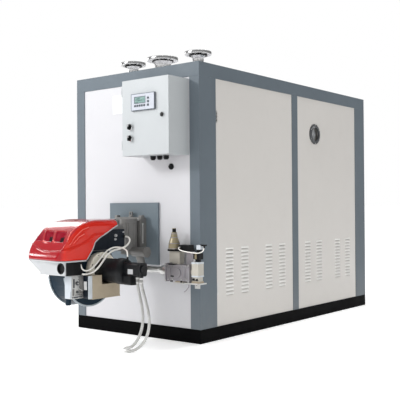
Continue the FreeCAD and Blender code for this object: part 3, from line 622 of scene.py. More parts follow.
def make_side_panel(name):
    low, high = corners(name)
    out = 1 if high.x > 0 else -1
    reveal = 4.0
    face = out * (570.0 - reveal)
    back = face - out * 30.0
    middle = (low.y + high.y) / 2
    slots_y = [(middle + c - LOUVRE_W / 2 + 6, middle + c + LOUVRE_W / 2 - 6) for c in LOUVRE_COLUMNS]
    slots_z = [(LOUVRE_Z + LOUVRE_PITCH * r - 3.0, LOUVRE_Z + LOUVRE_PITCH * r + 15)
               for r in range(LOUVRE_ROWS)]
    y_breaks = {low.y, high.y}
    z_breaks = {low.z, high.z}
    for pair in slots_y:
        y_breaks.update(pair)
    for pair in slots_z:
        z_breaks.update(pair)
    window = None
    if name == "right_rear_panel":
        glass_low, glass_high = corners("port_glass")
        window = (glass_low.y + 3, glass_high.y - 3, glass_low.z + 3, glass_high.z - 3)
        y_breaks.update(window[:2])
        z_breaks.update(window[2:])
    ys, zs = sorted(y_breaks), sorted(z_breaks)

    def is_open(i, j):
        y = (ys[i] + ys[i + 1]) / 2
        z = (zs[j] + zs[j + 1]) / 2
        if window and window[0] < y < window[1] and window[2] < z < window[3]:
            return True
        return (any(a < y < b for a, b in slots_y) and any(a < z < b for a, b in slots_z))

    piece = Piece()
    sheet_with_slots(piece, face, back, ys, zs, is_open)
    # the side cladding gets the warmer copy of the panel paint, as painted light
    piece.done(name.replace("_panel", "_cladding"), "side_lit_paint", replaces=(name,), smooth=50)
    hoods = Piece()
    for column in LOUVRE_COLUMNS:
        for row in range(LOUVRE_ROWS):
            louvre(hoods, face, out, middle + column, LOUVRE_Z + row * LOUVRE_PITCH)
    # the louvre hoods are painted lighter than the cladding, as painted highlight
    hoods.done(name.replace("_panel", "_louvres"), "louvre_lit_paint", smooth=50)
    # the small spring catches on the front edge of each front panel
    if "front" in name:
        catch = Piece()
        for z in (336, 1460):
            y = low.y + 9
            catch.slab((face, y - 7, z - 40), (face + out * 1.6, y + 9, z + 40))
            catch.slab((face, y - 4, z - 26), (face + out * 3.6, y + 3, z + 2))
            for dz in (-33, 33):
                catch.screw((face + out * 1.6, y + 2, z + dz), (out, 0, 0), 3.2, 1.6, 12)
        catch.done(name.replace("_panel", "_catches"), "galvanised", bevel=0.4)


def make_port():
    low, high = corners("port_ring")
    middle = Vector((low.x, (low.y + high.y) / 2, (low.z + high.z) / 2))
    outer = (high.y - low.y) / 2
    deep = high.x - low.x
    ring = Piece()
    sides = 64
    profile = [(0, outer), (6, outer), (7.5, outer - 1.5), (8, outer - 15), (deep - 1.5, outer - 17),
               (deep, outer - 18.5), (deep, outer - 23), (deep - 1.5, outer - 25.3), (0, outer - 25.5)]
    points = []
    for along, radius in profile:
        for k in range(sides):
            a = 2 * math.pi * k / sides
            points.append(middle + Vector((along, radius * math.cos(a), radius * math.sin(a))))
    rows = len(profile)
    faces = [(i * sides + k, ((i + 1) % rows) * sides + k,
              ((i + 1) % rows) * sides + (k + 1) % sides, i * sides + (k + 1) % sides)
             for i in range(rows) for k in range(sides)]
    ring.add(points, faces)
    ring.done("port_rim", "port_ring", replaces=("port_ring",))
    bolts = Piece()
    for k in range(6):
        a = 2 * math.pi * (k + 0.5) / 6
        at = middle + Vector((8, (outer - 8) * math.cos(a), (outer - 8) * math.sin(a)))
        bolts.screw(at, X, 4.2, 3.4)
    bolts.done("port_bolts", "galvanised")


# ------------------------------------------------------------------ control box
LOCK_PLACE = (433, -1363.4, 1452)


def make_door_details():
    low, high = corners("controller")
    face = low.y
    keys = Piece()
    step = 20.0
    for i in range(5):
        x = low.x + 36 + i * step
        keys.slab((x - 6.4, face - 1.2, low.z + 23.6), (x + 6.4, face + 3, low.z + 36.4))
    for i in range(3):
        x, z = high.x - 54, high.z - 34 - i * 22
        keys.slab((x - 7.4, face - 1.2, z - 6.4), (x + 7.4, face + 3, z + 6.4))
    keys.done("controller_keys", "key_plastic", "control_door", bevel=1.2)
    rim = Piece()
    t = 3.5
    y0, y1 = face + 1.7, face + 4.5
    rim.slab((low.x, y0, low.z), (low.x + t, y1, high.z))
    rim.slab((high.x - t, y0, low.z), (high.x, y1, high.z))
    rim.slab((low.x + t, y0, low.z), (high.x - t, y1, low.z + t))
    rim.slab((low.x + t, y0, high.z - t), (high.x - t, y1, high.z))
    rim.done("controller_rim", "rim_plastic", "control_door", bevel=0.6)
    # painted shade: dark strips along the controller's right side and under its bottom edge, where its rim
    # casts shade
    flank_shading = Piece().slab((high.x - 1, face + 4.6, low.z + 0.5), (high.x + 1.2, face + 13.4, high.z - 0.5))
    flank_shading.slab((low.x + 1, face + 4.6, low.z - 1.2), (high.x - 1, face + 13.4, low.z + 1))
    flank_shading.done("controller_edge_shade", "key_plastic", "control_door")
    glass_low, glass_high = corners("controller_display")
    shown = Piece()
    wide = glass_high.x - glass_low.x
    y = glass_low.y
    for row, share in ((0, 0.62), (1, 0.80), (2, 0.44)):
        z = glass_high.z - 8 - row * 10.5
        x = glass_low.x + 7
        for k in range(int(9 * share)):
            long = 5.5 if (k * 5 + row * 3) % 4 else 3.0
            shown.slab((x, y - 0.25, z - 4.6), (x + long, y + 0.2, z))
            x += wide * 0.095
    shown.done("display_mark_and_highlights", "display_ink", "control_door")
    frame_piece = Piece()
    t = 4.0
    y0, y1 = face + 1.4, face + 3.0
    frame_piece.slab((glass_low.x - t, y0, glass_low.z - t), (glass_low.x, y1, glass_high.z + t))
    frame_piece.slab((glass_high.x, y0, glass_low.z - t), (glass_high.x + t, y1, glass_high.z + t))
    frame_piece.slab((glass_low.x, y0, glass_low.z - t), (glass_high.x, y1, glass_low.z))
    frame_piece.slab((glass_low.x, y0, glass_high.z), (glass_high.x, y1, glass_high.z + t))
    frame_piece.done("display_surround", "rim_plastic", "control_door", bevel=0.5)
    lock = Piece()
    lock.turned(LOCK_PLACE, -Y, [(0, 11), (1.2, 11), (1.6, 10)], 32)
    lock.done("lock_face", "black_plastic", "control_door")
    for name, body in (("upper_selector_knob", "upper_knob"), ("lower_selector_knob", "lower_knob")):
        low, high = corners(name)
        x, z = (low.x + high.x) / 2, (low.z + high.z) / 2
        # a white indicator mark on each knob, made wide enough to stand in as a painted highlight on the
        # knob too
        Piece().slab((x + 0.6, low.y - 0.3, z + 2), (x + 4.3, low.y + 1, high.z - 1)).done(
            name.replace("_knob", "_mark_and_highlight"), "plate_white", body)
        ring = Piece()
        ring.turned((x, low.y + 16, z), Y, [(0, 19.5), (1.5, 21), (6, 21)], 40)
        ring.done(name.replace("_knob", "_ring"), "chrome_trim", "control_door")


def make_gland_nuts():
    nuts = Piece()
    top = corners("control_box")[0].z
    for x in GLAND_X:
        nuts.turned((x, GLAND_Y, top - 8), -Z, [(0, 18.0), (1, 19.0), (10, 19.0), (11, 18.0)], 6)
        nuts.turned((x, GLAND_Y, top - 20), -Z, [(0, 14), (2, 15), (5, 14), (7, 9.5)], 24)
    nuts.done("gland_nuts", "black_plastic", bevel=0.5)


# ------------------------------------------------------------------ burner hood
# points on each moulded line of the hood: x, y, z in millimetres, read off the photo by ray casts
RIDGES = (
    ((169, -1904, 682), (159, -1880, 705), (148, -1851, 727), (156, -1830, 745), (161, -1801, 762),
     (157, -1770, 774)),
    ((171, -1891, 652), (171, -1871, 675), (171, -1851, 698), (171, -1795, 738), (171, -1746, 752)),
    ((171, -1859, 663), (171, -1839, 680), (171, -1819, 697), (171, -1779, 713)),
)
CREASE_FRONT = ((-206, 652), (-186, 645), (-127, 626), (-45, 612), (36, 610), (143, 617), (171, 622))
CREASE_SIDE = ((-1950, 618), (-1891, 626), (-1812, 643), (-1747, 670), (-1690, 705))
# pockets in the nose, mm: left and right edge at the top and at the bottom, and depth
POCKETS = ((-152, -57, -92, 3, 14.0), (-30, 91, 31, 128, 14.0), (-260, -170, -260, -112, 3.0))
POCKET_LIPS = (((-104, -1870, 672), (-60, -1880, 662), (-8, -1888, 660), (12, -1882, 668)),
               ((12, -1884, 672), (50, -1898, 662), (108, -1908, 660), (134, -1898, 670)))
POCKET_TOP = 728.0
POCKET_LOW = 672.0


def smooth_step(value, low, high):
    t = min(1.0, max(0.0, (value - low) / (high - low)))
    return t * t * (3 - 2 * t)


def along(points, value):
    """A height read from a line of (place, height) points."""
    for (a, ha), (b, hb) in zip(points, points[1:]):
        if value <= b:
            return ha + (hb - ha) * max(0.0, (value - a) / (b - a))
    return points[-1][1]


def distance_to_line(p, line):
    best = 1e9
    for a, b in zip(line, line[1:]):
        a, b = Vector(a), Vector(b)
        way = b - a
        t = min(1.0, max(0.0, (p - a).dot(way) / way.length_squared))
        best = min(best, (p - a - way * t).length)
    return best


def pocket_places(p):
    """For each pocket: how far across it this point is, how far down, and the pocket's depth."""
    t = (POCKET_TOP - p.z) / (POCKET_TOP - POCKET_LOW)
    for left_top, right_top, left_low, right_low, depth in POCKETS:
        left = left_top + (left_low - left_top) * t
        right = right_top + (right_low - right_top) * t
        yield (p.x - left) / (right - left), t, depth


def pocket_depth(p):
    deep = 0.0
    for share, t, depth in pocket_places(p):
        tall = smooth_step(t, -0.05, 0.07) * smooth_step(-t, -1.08, -0.94)
        inside = smooth_step(share, -0.02, 0.12) * smooth_step(-share, -1.02, -0.93)
        deep = max(deep, inside * tall * depth * (0.45 + 0.55 * smooth_step(share, 0.1, 0.8)))
    return deep


def hood_zone(p, normal):
    """Which finish a place on the hood has: 0 gloss, 1 painted shade inside a pocket, 2 near-black painted
    shade in the lower right of a deep pocket, 3 painted highlight on a ridge crest or a pocket lip.
    """
    if normal.y < -0.25 and p.y < -1760:
        for share, t, depth in pocket_places(p):
            if 0.02 < share < 0.99 and 0.0 < t < 1.02:
                return 2 if depth > 5 and share > 0.5 and t > 0.75 - share * 0.45 else 1
        if any(distance_to_line(p, lip) < 3.0 for lip in POCKET_LIPS):
            return 3
    if p.x > 120 and any(distance_to_line(p, line) < 2.6 for line in RIDGES):
        return 3
    return 0


def make_hood():
    voxel = 0.0038
    mesh = NODES["burner_hood"].data.copy()
    shell = bpy.data.objects.new("hood_form", mesh)
    bpy.context.scene.collection.objects.link(shell)
    remesh = shell.modifiers.new("even", "REMESH")
    remesh.mode = "VOXEL"
    remesh.voxel_size = voxel
    even = shell.modifiers.new("even_out", "SMOOTH")
    even.factor = 0.5
    even.iterations = 3
    graph = bpy.context.evaluated_depsgraph_get()
    mesh = bpy.data.meshes.new_from_object(shell.evaluated_get(graph))
    bpy.data.objects.remove(shell)
    normals = [v.normal.copy() for v in mesh.vertices]
    zones = [hood_zone(face.center / MM, face.normal) for face in mesh.polygons]
    for vertex, normal in zip(mesh.vertices, normals):
        p = vertex.co / MM
        shift = 0.0
        front = normal.y < -0.25 and p.y < -1760
        side = normal.x > 0.6 and p.x > 150
        if front or side:
            crease = along(CREASE_FRONT, p.x) if front and p.x < 165 else along(CREASE_SIDE, p.y)
            over = p.z - crease
            shift -= 4.5 * smooth_step(over, -1, 5) * smooth_step(-over, -85, -10)
            shift += 2.6 * math.exp(-(over / 4.0) ** 2)
        if front or side or (normal.z > 0.3 and p.x > 120):
            for line in RIDGES:
                shift += 6.5 * math.exp(-(distance_to_line(p, line) / 5.5) ** 2)
        moved = normal * shift
        if front:
            moved -= normal * pocket_depth(p)
            for lip in POCKET_LIPS:
                moved += normal * 4.0 * math.exp(-(distance_to_line(p, lip) / 5.0) ** 2)
        if p.x > 140 and moved.x > 0:
            moved.x = min(moved.x, 3.0)
        vertex.co += moved * MM
    ease = bpy.data.objects.new("hood_form", mesh)
    bpy.context.scene.collection.objects.link(ease)
    soft = ease.modifiers.new("ease", "SMOOTH")
    soft.factor = 0.5
    soft.iterations = 2
    graph = bpy.context.evaluated_depsgraph_get()
    mesh = bpy.data.meshes.new_from_object(ease.evaluated_get(graph))
    bpy.data.objects.remove(ease)
    mesh.name = "hood_shell"
    finish_piece("hood_shell", mesh, "hood_red", replaces=("burner_hood",), smooth=180)
    # the faces of painted shade in the pockets and of painted highlight on ridge crests and pocket lips get
    # their own finishes
    for finish in ("hood_recess_shade", "hood_opening_shade", "hood_crest_highlight"):
        mesh.materials.append(MATERIALS[finish])
    for face, zone in zip(mesh.polygons, zones):
        face.material_index = zone
    trim = Piece()
    tail = [(-1493, 761), (-1536, 741), (-1579, 719), (-1648, 688), (-1686, 662), (-1707, 620),
            (-1732, 588), (-1756, 558)]
    for x in (169.5, -204.5):
        trim.bar([(x, y, z - 2) for y, z in tail], 3.6, 10)
    trim.done("hood_trim", "casing_white")


# ------------------------------------------------------------------ burner, below and behind the hood
def make_end_bell():
    low, high = corners("motor_end_bell")
    y, z = (low.y + high.y) / 2, (low.z + high.z) / 2
    r = (high.z - low.z) / 2
    long = high.x - low.x
    bell = Piece().turned((low.x, y, z), X, [(0, r), (long - 26, r), (long - 14, r - 5), (long - 6, r - 14),
                                             (long, r - 26)], 56)
    for k in range(4):
        a = math.pi / 4 + k * math.pi / 2
        way = Vector((0, math.cos(a), math.sin(a)))
        bell.screw(Vector((high.x - 16, y, z)) + way * (r - 16), X, 4.5, 8)
    bell.done("motor_bell", "motor_black", bevel=0.8, replaces=("motor_end_bell",))
    pump_high = corners("oil_pump")[1]
    label = Piece()
    front = y - 32
    label.slab((372, front - 0.9, 470), (414, front + 0.5, 500))
    label.done("pump_label", "casing_white", bevel=0.3)
    bolts = Piece()
    for x, dz in ((352, 528), (457, 528), (457, 468), (430, 468)):
        bolts.screw((x, front, dz), -Y, 4.5, 4)
    bolts.turned((pump_high.x - 11, y, 500), X, [(0, 17), (11, 17), (12.4, 15)], 24)
    bolts.screw((pump_high.x, y, 500), X, 9, 1.5)
    bolts.done("pump_bolts", "black_plastic", bevel=0.4)


def make_fan_details():
    low, high = corners("fan_housing")
    disc_low, disc_high = corners("motor_flange")
    y, z = FAN_CENTRE
    rims = Piece()
    sides = 96
    for x in (low.x - 0.4, high.x - 8.4):
        points = []
        for along_x, radius in ((0, FAN_R - 2), (0, FAN_R + 7.5), (8.8, FAN_R + 7.5), (8.8, FAN_R - 2)):
            for k in range(sides // 2 + 1):
                a = math.pi + 0.1 + (math.pi - 0.2) * k / (sides // 2)
                points.append((x + along_x, y + radius * math.cos(a), z + radius * math.sin(a)))
        rows = sides // 2 + 1
        faces = [(r * rows + k, r * rows + k + 1, ((r + 1) % 4) * rows + k + 1, ((r + 1) % 4) * rows + k)
                 for r in range(4) for k in range(rows - 1)]
        faces += [(0, rows, 2 * rows, 3 * rows), (rows - 1, 2 * rows - 1, 3 * rows - 1, 4 * rows - 1)]
        rims.add(points, faces)
    rims.done("fan_rims", "fan_rim", bevel=0.6)
    bolts = Piece()
    for k in range(9):
        a = math.pi + math.pi * (k + 0.5) / 9
        at = (low.x + 8.4, y + (FAN_R + 3) * math.cos(a), z + (FAN_R + 3) * math.sin(a))
        bolts.screw(at, X, 3.6, 3)
    bolts.done("fan_bolts", "galvanised")
    ring = Piece()
    middle_y, middle_z = (disc_low.y + disc_high.y) / 2, (disc_low.z + disc_high.z) / 2
    for k in range(8):
        a = 2 * math.pi * (k + 0.5) / 8
        at = (disc_high.x, middle_y + 100 * math.cos(a), middle_z + 100 * math.sin(a))
        ring.screw(at, X, 4.5, 4)
    ring.done("flange_bolts", "galvanised")


def make_casing_details():
    duct = Piece()
    x0, x1, y0, y1, z0, z1 = 95, 164, -1927, -1861, 468.5, 547.5
    duct.slab((x0, y0 + 12, z0), (x1, y1, z1))
    hole_x, hole_z, hole_r = 128, 512, 26
    sides = 32
    points = []
    for k in range(sides):
        a = 2 * math.pi * k / sides
        points.append((hole_x + hole_r * math.cos(a), y0, hole_z + hole_r * math.sin(a)))
        points.append((hole_x + (hole_r + 7) * math.cos(a), y0, hole_z + (hole_r + 7) * math.sin(a)))
        points.append((hole_x + hole_r * math.cos(a), y0 + 13, hole_z + hole_r * math.sin(a)))
        points.append((hole_x + (hole_r + 7) * math.cos(a), y0 + 13, hole_z + (hole_r + 7) * math.sin(a)))
    faces = []
    for k in range(sides):
        a, b = 4 * k, 4 * ((k + 1) % sides)
        faces += [(a, a + 1, b + 1, b), (a, b, b + 2, a + 2), (a + 1, a + 3, b + 3, b + 1)]
    duct.add(points, faces)
    duct.done("air_duct", "black_plastic", bevel=1.5)


def make_damper_details():
    # the linkage housing in front: pale cover at its left, dark cam and shaft at its right
    block = Piece()
    block.slab((90.4, -1858, 326), (147.4, -1764, 466))
    block.done("damper_block", "galvanised", bevel=1.5, replaces=("damper_motor",))
    neck = Piece()
    neck.slab((92, -1856, 464), (146, -1768, 547.5))
    neck.done("damper_neck", "black_plastic", bevel=2.0)
    cover = Piece()
    cover.slab((90.6, -1863, 328), (147.2, -1857, 462))
    cover.slab((118, -1869, 330), (146, -1861, 372))
    cover.turned((104, -1862, 440), -Y, [(0, 6), (3, 6)], 20)
    cover.done("damper_cover", "strip_grey", bevel=2.2)
    dark = Piece()
    dark.slab((147, -1848, 392), (150, -1836, 446))
    dark.turned((147.4, -1816, 418), X, [(0, 13), (4, 13), (5, 11), (9, 11)], 24)
    dark.turned((147.4, -1816, 366), X, [(0, 9), (7, 9)], 6)
    dark.slab((147, -1856, 330), (149.5, -1776, 340))
    dark.done("damper_linkage", "port_ring", bevel=0.7)
    plates = Piece()
    plates.slab((147, -1832, 346), (149, -1776, 352))
    plates.slab((147, -1796, 356), (150, -1770, 456))
    plates.slab((147, -1852, 346), (149, -1838, 386))
    plates.done("damper_plates", "cast_aluminium", bevel=0.7)
    shiny = Piece()
    shiny.turned((150, -1816, 418), X, [(0, 5), (10, 5)], 16)
    for at in ((148, -1850, 448), (148, -1804, 448), (148, -1850, 334), (148, -1804, 334)):
        shiny.screw(at, X, 3.6, 3)
    shiny.bar([(152, -1816, 400), (156, -1800, 380), (156, -1780, 372)], 2.4)
    shiny.done("damper_shaft", "galvanised")
    servo = Piece()
    servo.slab((105, -1765, 323), (189, -1740.5, 458))
    servo.slab((112, -1767, 332), (182, -1764, 366))
    servo.done("servo_case", "navy_plastic", bevel=2.0, replaces=("damper_servo",))
    label = Piece().slab((152, -1766.2, 375), (178, -1764.5, 426))
    label.done("servo_label", "plate_white", bevel=0.3)
    strip = Piece()
    strip.slab((189.5, -1767, 321), (199.6, -1739.5, 460))
    strip.done("intake_strip", "strip_grey", bevel=1.2)
    lip = Piece()
    lip.slab((168, -1740, 317), (202, -1505, 321.5))
    lip.slab((199.5, -1741, 318), (202.5, -1664, 460))
    for y in (-1720, -1640, -1560, -1520):
        lip.screw((200, y, 334), X, 3.5, 2.4)
    lip.screw((200, -1720, 446), X, 3.5, 2.4)
    lip.screw((200, -1684, 446), X, 3.5, 2.4)
    lip.done("intake_lip", "intake_beige", bevel=0.6)


def make_head_details():
    bolts = Piece()
    low, high = corners("burner_flange")
    for x in (-104, 104):
        for z in (592, 788):
            bolts.screw((x, low.y, z), -Y, 8.5, 8)
            bolts.turned((x, low.y - 8, z), -Y, [(0, 5), (9, 5), (10, 4)], 16)
    bolts.done("head_bolts", "galvanised", bevel=0.4)
    ribs = Piece()
    pot = 110.0
    for y in (-1262, -1286, -1330, -1352):
        ribs.slab((pot - 2, y - 3, 604), (pot + 4, y + 3, 780))
    for x in (-60, -20, 20, 60):
        ribs.slab((x - 3, -1384, 765), (x + 3, -1378, 792))
    ribs.slab((pot - 2, -1366, 770), (pot + 3, -1248, 778))
    ribs.done("head_ribs", "cast_aluminium", bevel=1.5)
    posts = Piece()
    posts.turned((117, -1206, 640), Z, [(0, 5), (120, 5)], 14)
    for z in (632, 756):
        posts.turned((117, -1206, z), Z, [(0, 8), (9, 8)], 6)
    posts.done("head_tie_rod", "galvanised")
    sockets = Piece()
    face = corners("electrics_box")[1].x
    for y, z, r in ((-1461, 692, 9), (-1465, 668, 6.5), (-1392, 712, 4.5)):
        sockets.turned((face, y, z), X, [(0, r + 1.5), (3, r + 1.5), (3.5, r), (9, r), (10, r - 1.5)], 20)
    sockets.done("box_connectors", "casing_white", bevel=0.4)
    lid = Piece()
    low, high = corners("electrics_box")
    lid.slab((high.x - 1, low.y + 10, high.z - 16), (high.x + 2, high.y - 12, high.z - 13))
    lid.slab((high.x - 1, low.y + 120, low.z + 8), (high.x + 2.4, low.y + 170, high.z - 24))
    for y in (low.y + 14, high.y - 14):
        lid.screw((high.x, y, low.z + 14), X, 4, 2, 12)
    lid.done("electrics_lid", "navy_plastic", bevel=0.8)


def make_gas_details():
    y, z = -1250, 466
    union = Piece()
    union.turned((326, y, z), X, [(0, 24), (4, 28), (10, 31.5), (32, 31.5), (38, 28), (50, 27), (52, 24)], 8)
    union.turned((376, y, z), X, [(0, 26), (11, 26)], 6)
    union.done("gas_union", "galvanised", bevel=1.0)
    x, ky = 408, -1222
    Piece().turned((x, ky, 706), Z, [(0, 11), (2, 12.4), (26, 12.4), (29, 11), (30, 8)], 24).done(
        "regulator_knob", "black_plastic", bevel=0.5)
    rings = Piece()
    for height, radius in ((603, 38), (637, 36.5), (674, 23.5), (698, 18.5)):
        rings.turned((x, ky, height), Z, [(0, radius), (1.2, radius + 1.4), (4, radius + 1.4), (5, radius)],
                     40)
    for k in range(6):
        a = 2 * math.pi * k / 6
        rings.screw((x + 31 * math.cos(a), ky + 31 * math.sin(a), 641), Z, 3.4, 4)
    rings.done("regulator_rings", "train_alloy")
    low = corners("valve_block")[0]
    face = low.y + 8
    screws = Piece()
    for at in (393, 581.5):
        for height in (408, 508):
            screws.screw((at, low.y + 2, height), -Y, 5.2, 5)
    for at in (412, 446, 520, 560):
        screws.screw((at, face, 499), -Y, 4.2, 3.5)
        screws.screw((at, face, 417), -Y, 4.2, 3.5)
    screws.done("block_screws", "galvanised")
    ribs = Piece()
    for at in (428, 548):
        ribs.slab((at - 3, face - 5, 424), (at + 3, face + 1, 492))
    for height in (428, 488):
        ribs.slab((404, face - 4, height - 2.5), (446, face + 1, height + 2.5))
        ribs.slab((528, face - 4, height - 2.5), (572, face + 1, height + 2.5))
    ribs.done("block_ribs", "train_alloy", bevel=1.2)
    dark = Piece()
    dark.slab((414, face - 2, 506.5), (458, face + 36, 512))
    dark.turned((424, face + 16, 409), -Z, [(0, 9), (10, 9), (11, 6)], 16)
    dark.turned((520, face, 404), -Y, [(0, 7), (4, 7)], 16)
    dark.slab((432, face - 1.5, 432), (458, face + 1, 440))
    dark.done("block_caps", "black_plastic", bevel=0.6)
    lever = Piece()
    lever.turned((560, -1262, 392), -Z, [(0, 9), (5, 9), (6, 7)], 6)
    lever.bar([(560, -1262, 386), (560, -1262, 372), (552, -1278, 352), (544, -1290, 342)], 2.6)
    lever.done("drain_lever", "train_alloy")
    Piece().slab((622, -1279.4, 550), (637, -1277, 584)).done("coil_label", "amber_alloy", bevel=0.3)
    Piece().slab((630.6, -1273.4, 608), (663.4, -1242.6, 635.4)).done("coil_cap", "strip_grey", bevel=1.6)
    plug = Piece()
    plug.turned((622, -1290, 540), Vector((0.7, 0, -0.7)), [(0, 3), (30, 3)], 10)
    plug.turned((606, -1262, 541), X, [(0, 7), (12, 7)], 16)
    plug.done("valve_bleed", "galvanised")
    seams = Piece()
    seams.slab((604.6, -1291.4, 520), (659.4, -1234.8, 531))
    seams.slab((604.6, -1291.4, 439), (659.4, -1234.8, 448))
    seams.done("valve_bands", "strip_grey", bevel=0.8)
    foot = Piece()
    foot.slab((600, -1284, 399.5), (658, -1236, 412))
    foot.slab((470, -1289, 400), (530, -1215, 406))
    for at in (478, 522):
        foot.screw((at, -1252, 406), Z, 4, 4)
    for at in (610, 648):
        foot.screw((at, -1286, 405), -Y, 3.6, 3)
    foot.done("tray_feet", "intake_beige", bevel=0.6)
    brown = Piece()
    brown.turned((616, -1281, 424), -Y, [(0, 7), (6, 7)], 16)
    brown.turned((642, -1281, 424), -Y, [(0, 5), (6, 5)], 16)
    brown.slab((606, -1283, 416), (652, -1279, 420))
    brown.done("valve_ports", "black_plastic", bevel=0.5)


def make_label_plates():
    """The bare plate beside the control box."""
    face = corners("front_panel")[0].y
    plate = Piece().slab((-203, face - 0.9, 1522), (-60, face + 0.5, 1650))
    for x in (-198, -65):
        for z in (1527, 1645):
            plate.screw((x, face - 0.9, z), -Y, 2.2, 0.8, 10)
    plate.done("front_plate", "plate_white", bevel=0.2)


def make_frame_details():
    """Welded joints of the frame and the roof's folded edges."""
    low, high = corners("top_frame")
    roof_low, roof_high = corners("roof_panel")
    welds = Piece()
    for x in (low.x + 80, high.x - 80):
        for y in (low.y + 80, high.y - 80):
            sx = 1 if x > 0 else -1
            sy = 1 if y > 0 else -1
            welds.bar([(x, y, high.z - 1.2), (x + sx * 77, y + sy * 77, high.z - 1.2)], 1.6, 8)
    welds.done("mitre_welds", "frame_paint")
    seams = Piece()
    top = roof_high.z
    for x in (-160, 160):
        seams.slab((x - 9, roof_low.y + 2, top - 0.5), (x + 9, roof_high.y - 2, top + 2.2))
        steps = 14
        for k in range(steps):
            y = roof_low.y + 60 + k * (roof_high.y - roof_low.y - 120) / (steps - 1)
            if abs(y + 857) > 150:
                seams.screw((x, y, top + 2.2), Z, 3.4, 1.6, 10)
    seams.done("roof_seams", "panel_paint", bevel=0.6)
    rivets = Piece()
    for node, out in (("front_panel", -1), ("rear_panel", 1)):
        plow, phigh = corners(node)
        face = plow.y if out < 0 else phigh.y
        for x in (plow.x + 10, phigh.x - 10):
            for k in range(7):
                z = plow.z + 40 + k * (phigh.z - plow.z - 80) / 6
                rivets.turned((x, face, z), (0, out, 0), [(0, 3.4), (0.9, 3.0), (1.4, 1.6)], 12)
    rivets.done("panel_rivets", "panel_paint")


STUB_SEAL_Z = 1802             # height of the seal at the foot of each roof stub


def make_collars():
    """Bolted joints seen on the roof: a gasket under each bolting flange."""
    gaskets = Piece()
    for node in ("left_roof_flange", "middle_roof_flange", "right_roof_flange"):
        low, high = corners(node)
        x, y = (low.x + high.x) / 2, (low.y + high.y) / 2
        r = (high.x - low.x) / 2
        gaskets.turned((x, y, high.z - 27), Z, [(0, r * 0.70), (4.5, r * 0.70)], 48)
        gaskets.turned((x, y, STUB_SEAL_Z), Z, [(0, r * 0.72), (3, r * 0.70), (7, r * 0.64)], 48)
    gaskets.done("flange_gaskets", "black_plastic", bevel=0.5)


# ------------------------------------------------------------------ floor, light and world
def area_light(name, place, target, size, power, colour=(1, 1, 1)):
    data = bpy.data.lights.new(name, "AREA")
    data.shape = "RECTANGLE"
    data.size, data.size_y = size
    data.energy = power
    data.color = colour
    lamp = bpy.data.objects.new(name, data)
    lamp.location = place
    way = Vector(target) - Vector(place)
    lamp.rotation_euler = way.to_track_quat("-Z", "Y").to_euler()
    bpy.context.scene.collection.objects.link(lamp)


def ramp_between(tree, value, stops):
    """A grey ramp: stops are (position, brightness)."""
    ramp = tree.nodes.new("ShaderNodeValToRGB")
    for element, (position, bright) in zip(ramp.color_ramp.elements, stops):
        element.position = position
        element.color = (bright, bright, bright, 1)
    tree.links.new(value, ramp.inputs[0])
    return ramp.outputs[0]


def make_world():
    """White behind the boiler, more light from the front than the right, a dim hall in reflections."""
    world = bpy.data.worlds.new("studio")
    world.use_nodes = True
    tree = world.node_tree
    behind = tree.nodes["Background"]
    behind.inputs["Color"].default_value = (1, 1, 1, 1)
    behind.inputs["Strength"].default_value = 1.0
    place = tree.nodes.new("ShaderNodeTexCoord").outputs["Generated"]
    split = tree.nodes.new("ShaderNodeSeparateXYZ")
    tree.links.new(place, split.inputs[0])
    slope = tree.nodes.new("ShaderNodeVectorMath")
    slope.operation = "DOT_PRODUCT"
    slope.inputs[1].default_value = (-0.10, -0.39, 0)
    tree.links.new(place, slope.inputs[0])
    fill = tree.nodes.new("ShaderNodeBackground")
    fill_share = tree.nodes.new("ShaderNodeMapRange")
    for key, value in (("From Min", -0.5), ("From Max", 0.5), ("To Min", 0.04), ("To Max", 1.96)):
        fill_share.inputs[key].default_value = value
    tree.links.new(slope.outputs["Value"], fill_share.inputs["Value"])
    tree.links.new(fill_share.outputs["Result"], fill.inputs["Strength"])
    hall = tree.nodes.new("ShaderNodeBackground")
    tree.links.new(ramp_between(tree, split.outputs["Z"], ((0.02, 0.10), (0.9, 0.62))),
                   hall.inputs["Color"])
    path = tree.nodes.new("ShaderNodeLightPath")
    not_seen = tree.nodes.new("ShaderNodeMixShader")
    tree.links.new(path.outputs["Is Glossy Ray"], not_seen.inputs[0])
    tree.links.new(fill.outputs[0], not_seen.inputs[1])
    tree.links.new(hall.outputs[0], not_seen.inputs[2])
    seen = tree.nodes.new("ShaderNodeMixShader")
    tree.links.new(path.outputs["Is Camera Ray"], seen.inputs[0])
    tree.links.new(not_seen.outputs[0], seen.inputs[1])
    tree.links.new(behind.outputs[0], seen.inputs[2])
    tree.links.new(seen.outputs[0], tree.nodes["World Output"].inputs["Surface"])
    bpy.context.scene.world = world


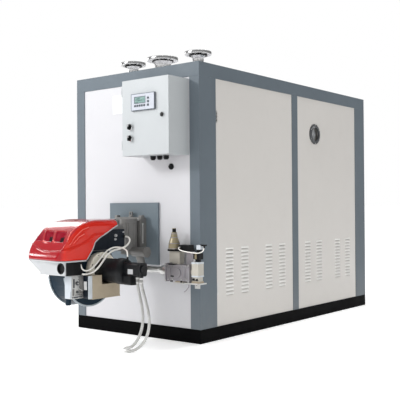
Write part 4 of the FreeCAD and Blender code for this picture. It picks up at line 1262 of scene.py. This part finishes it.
def make_studio():
    bpy.context.scene.view_settings.view_transform = "Standard"
    make_world()
    half = 300.0
    mesh = bpy.data.meshes.new("floor")
    mesh.from_pydata([(-half, -half, 0), (half, -half, 0), (half, half, 0), (-half, half, 0)], [],
                     [(0, 1, 2, 3)])
    floor = bpy.data.objects.new("floor", mesh)
    g = Graph("floor")
    g.link(g.mix(g.between(g.noise(1.5), 0.3, 0.7), (0.985, 0.985, 0.985, 1), (1.0, 1.0, 1.0, 1)),
           g.shader.inputs["Base Color"])
    g.shader.inputs["Roughness"].default_value = 0.9
    g.shader.inputs["Specular IOR Level"].default_value = 0.0
    g.shader.inputs["Emission Color"].default_value = (1, 1, 1, 1)
    g.shader.inputs["Emission Strength"].default_value = 0.24
    mesh.materials.append(g.material)
    bpy.context.scene.collection.objects.link(floor)
    area_light("key", (-3.2, -5.6, 3.6), (0.0, -1.0, 0.8), (1.2, 1.2), 190, (0.985, 0.99, 1.0))
    area_light("skylight", (0.5, 0.2, 4.6), (0.2, -0.6, 0.8), (0.9, 3.4), 120)
    area_light("left_window", (-3.4, 0.1, 2.4), (0.0, -1.7, 0.75), (1.5, 0.7), 18)
    area_light("low_window", (-3.6, -2.9, 1.2), (-0.1, -1.9, 0.6), (0.5, 0.3), 7)
    area_light("back", (-3.0, 5.0, 3.5), (0, 1.0, 0.9), (3.0, 3.0), 25)


# ------------------------------------------------------------------ the CAD nodes' own finish
SOFTENED = {
    "control_door": 2.0, "control_box": 1.2, "burner_plate": 1.2, "burner_flange": 2.5,
    "burner_body": 2.0, "electrics_box": 2.5, "lower_casing": 4.0, "motor_flange": 2.5,
    "air_intake_box": 2.0, "burner_motor": 7.0, "valve_block": 1.8,
    "gas_filter": 2.5, "pressure_switch": 2.0, "gas_valve": 2.5, "valve_solenoid": 2.0,
    "train_bracket": 0.6, "gas_inlet_elbow": 2.5, "controller": 1.2, "base_skid": 2.0,
    "oil_pump": 2.0, "top_frame": 1.2, "upper_selector_knob": 0.8,
    "lower_selector_knob": 0.8, "bezels_and_lock": 0.8, "gas_regulator": 1.5, "fan_housing": 1.5,
    "front_panel": 1.5, "rear_panel": 1.5, "roof_panel": 1.0, "cable_glands": 0.8,
    "left_roof_flange": 1.2, "middle_roof_flange": 1.2, "right_roof_flange": 1.2,
    "gas_pipe": 1.0, "hose_end_fittings": 0.5,
}


def dress_nodes():
    slots = {row["node"]: row["material_slot"] for row in frame["record"]["subparts"]}
    for name, obj in NODES.items():
        obj.data.materials.clear()
        obj.data.materials.append(MATERIALS[slots[name]])
        width = SOFTENED.get(name, 1.0 if name.endswith("_post") else 0.0)
        if width:
            weld = obj.modifiers.new("weld", "WELD")
            weld.merge_threshold = 0.00002
            soften(obj, width)


make_camera()
MATERIALS = make_materials()
make_cords()
make_studio()
for panel in ("left_front_panel", "left_rear_panel", "right_front_panel", "right_rear_panel"):
    make_side_panel(panel)
make_port()
make_door_details()
make_gland_nuts()
make_hood()
make_end_bell()
make_fan_details()
make_casing_details()
make_damper_details()
make_head_details()
make_gas_details()
make_label_plates()
make_frame_details()
make_collars()
dress_nodes()
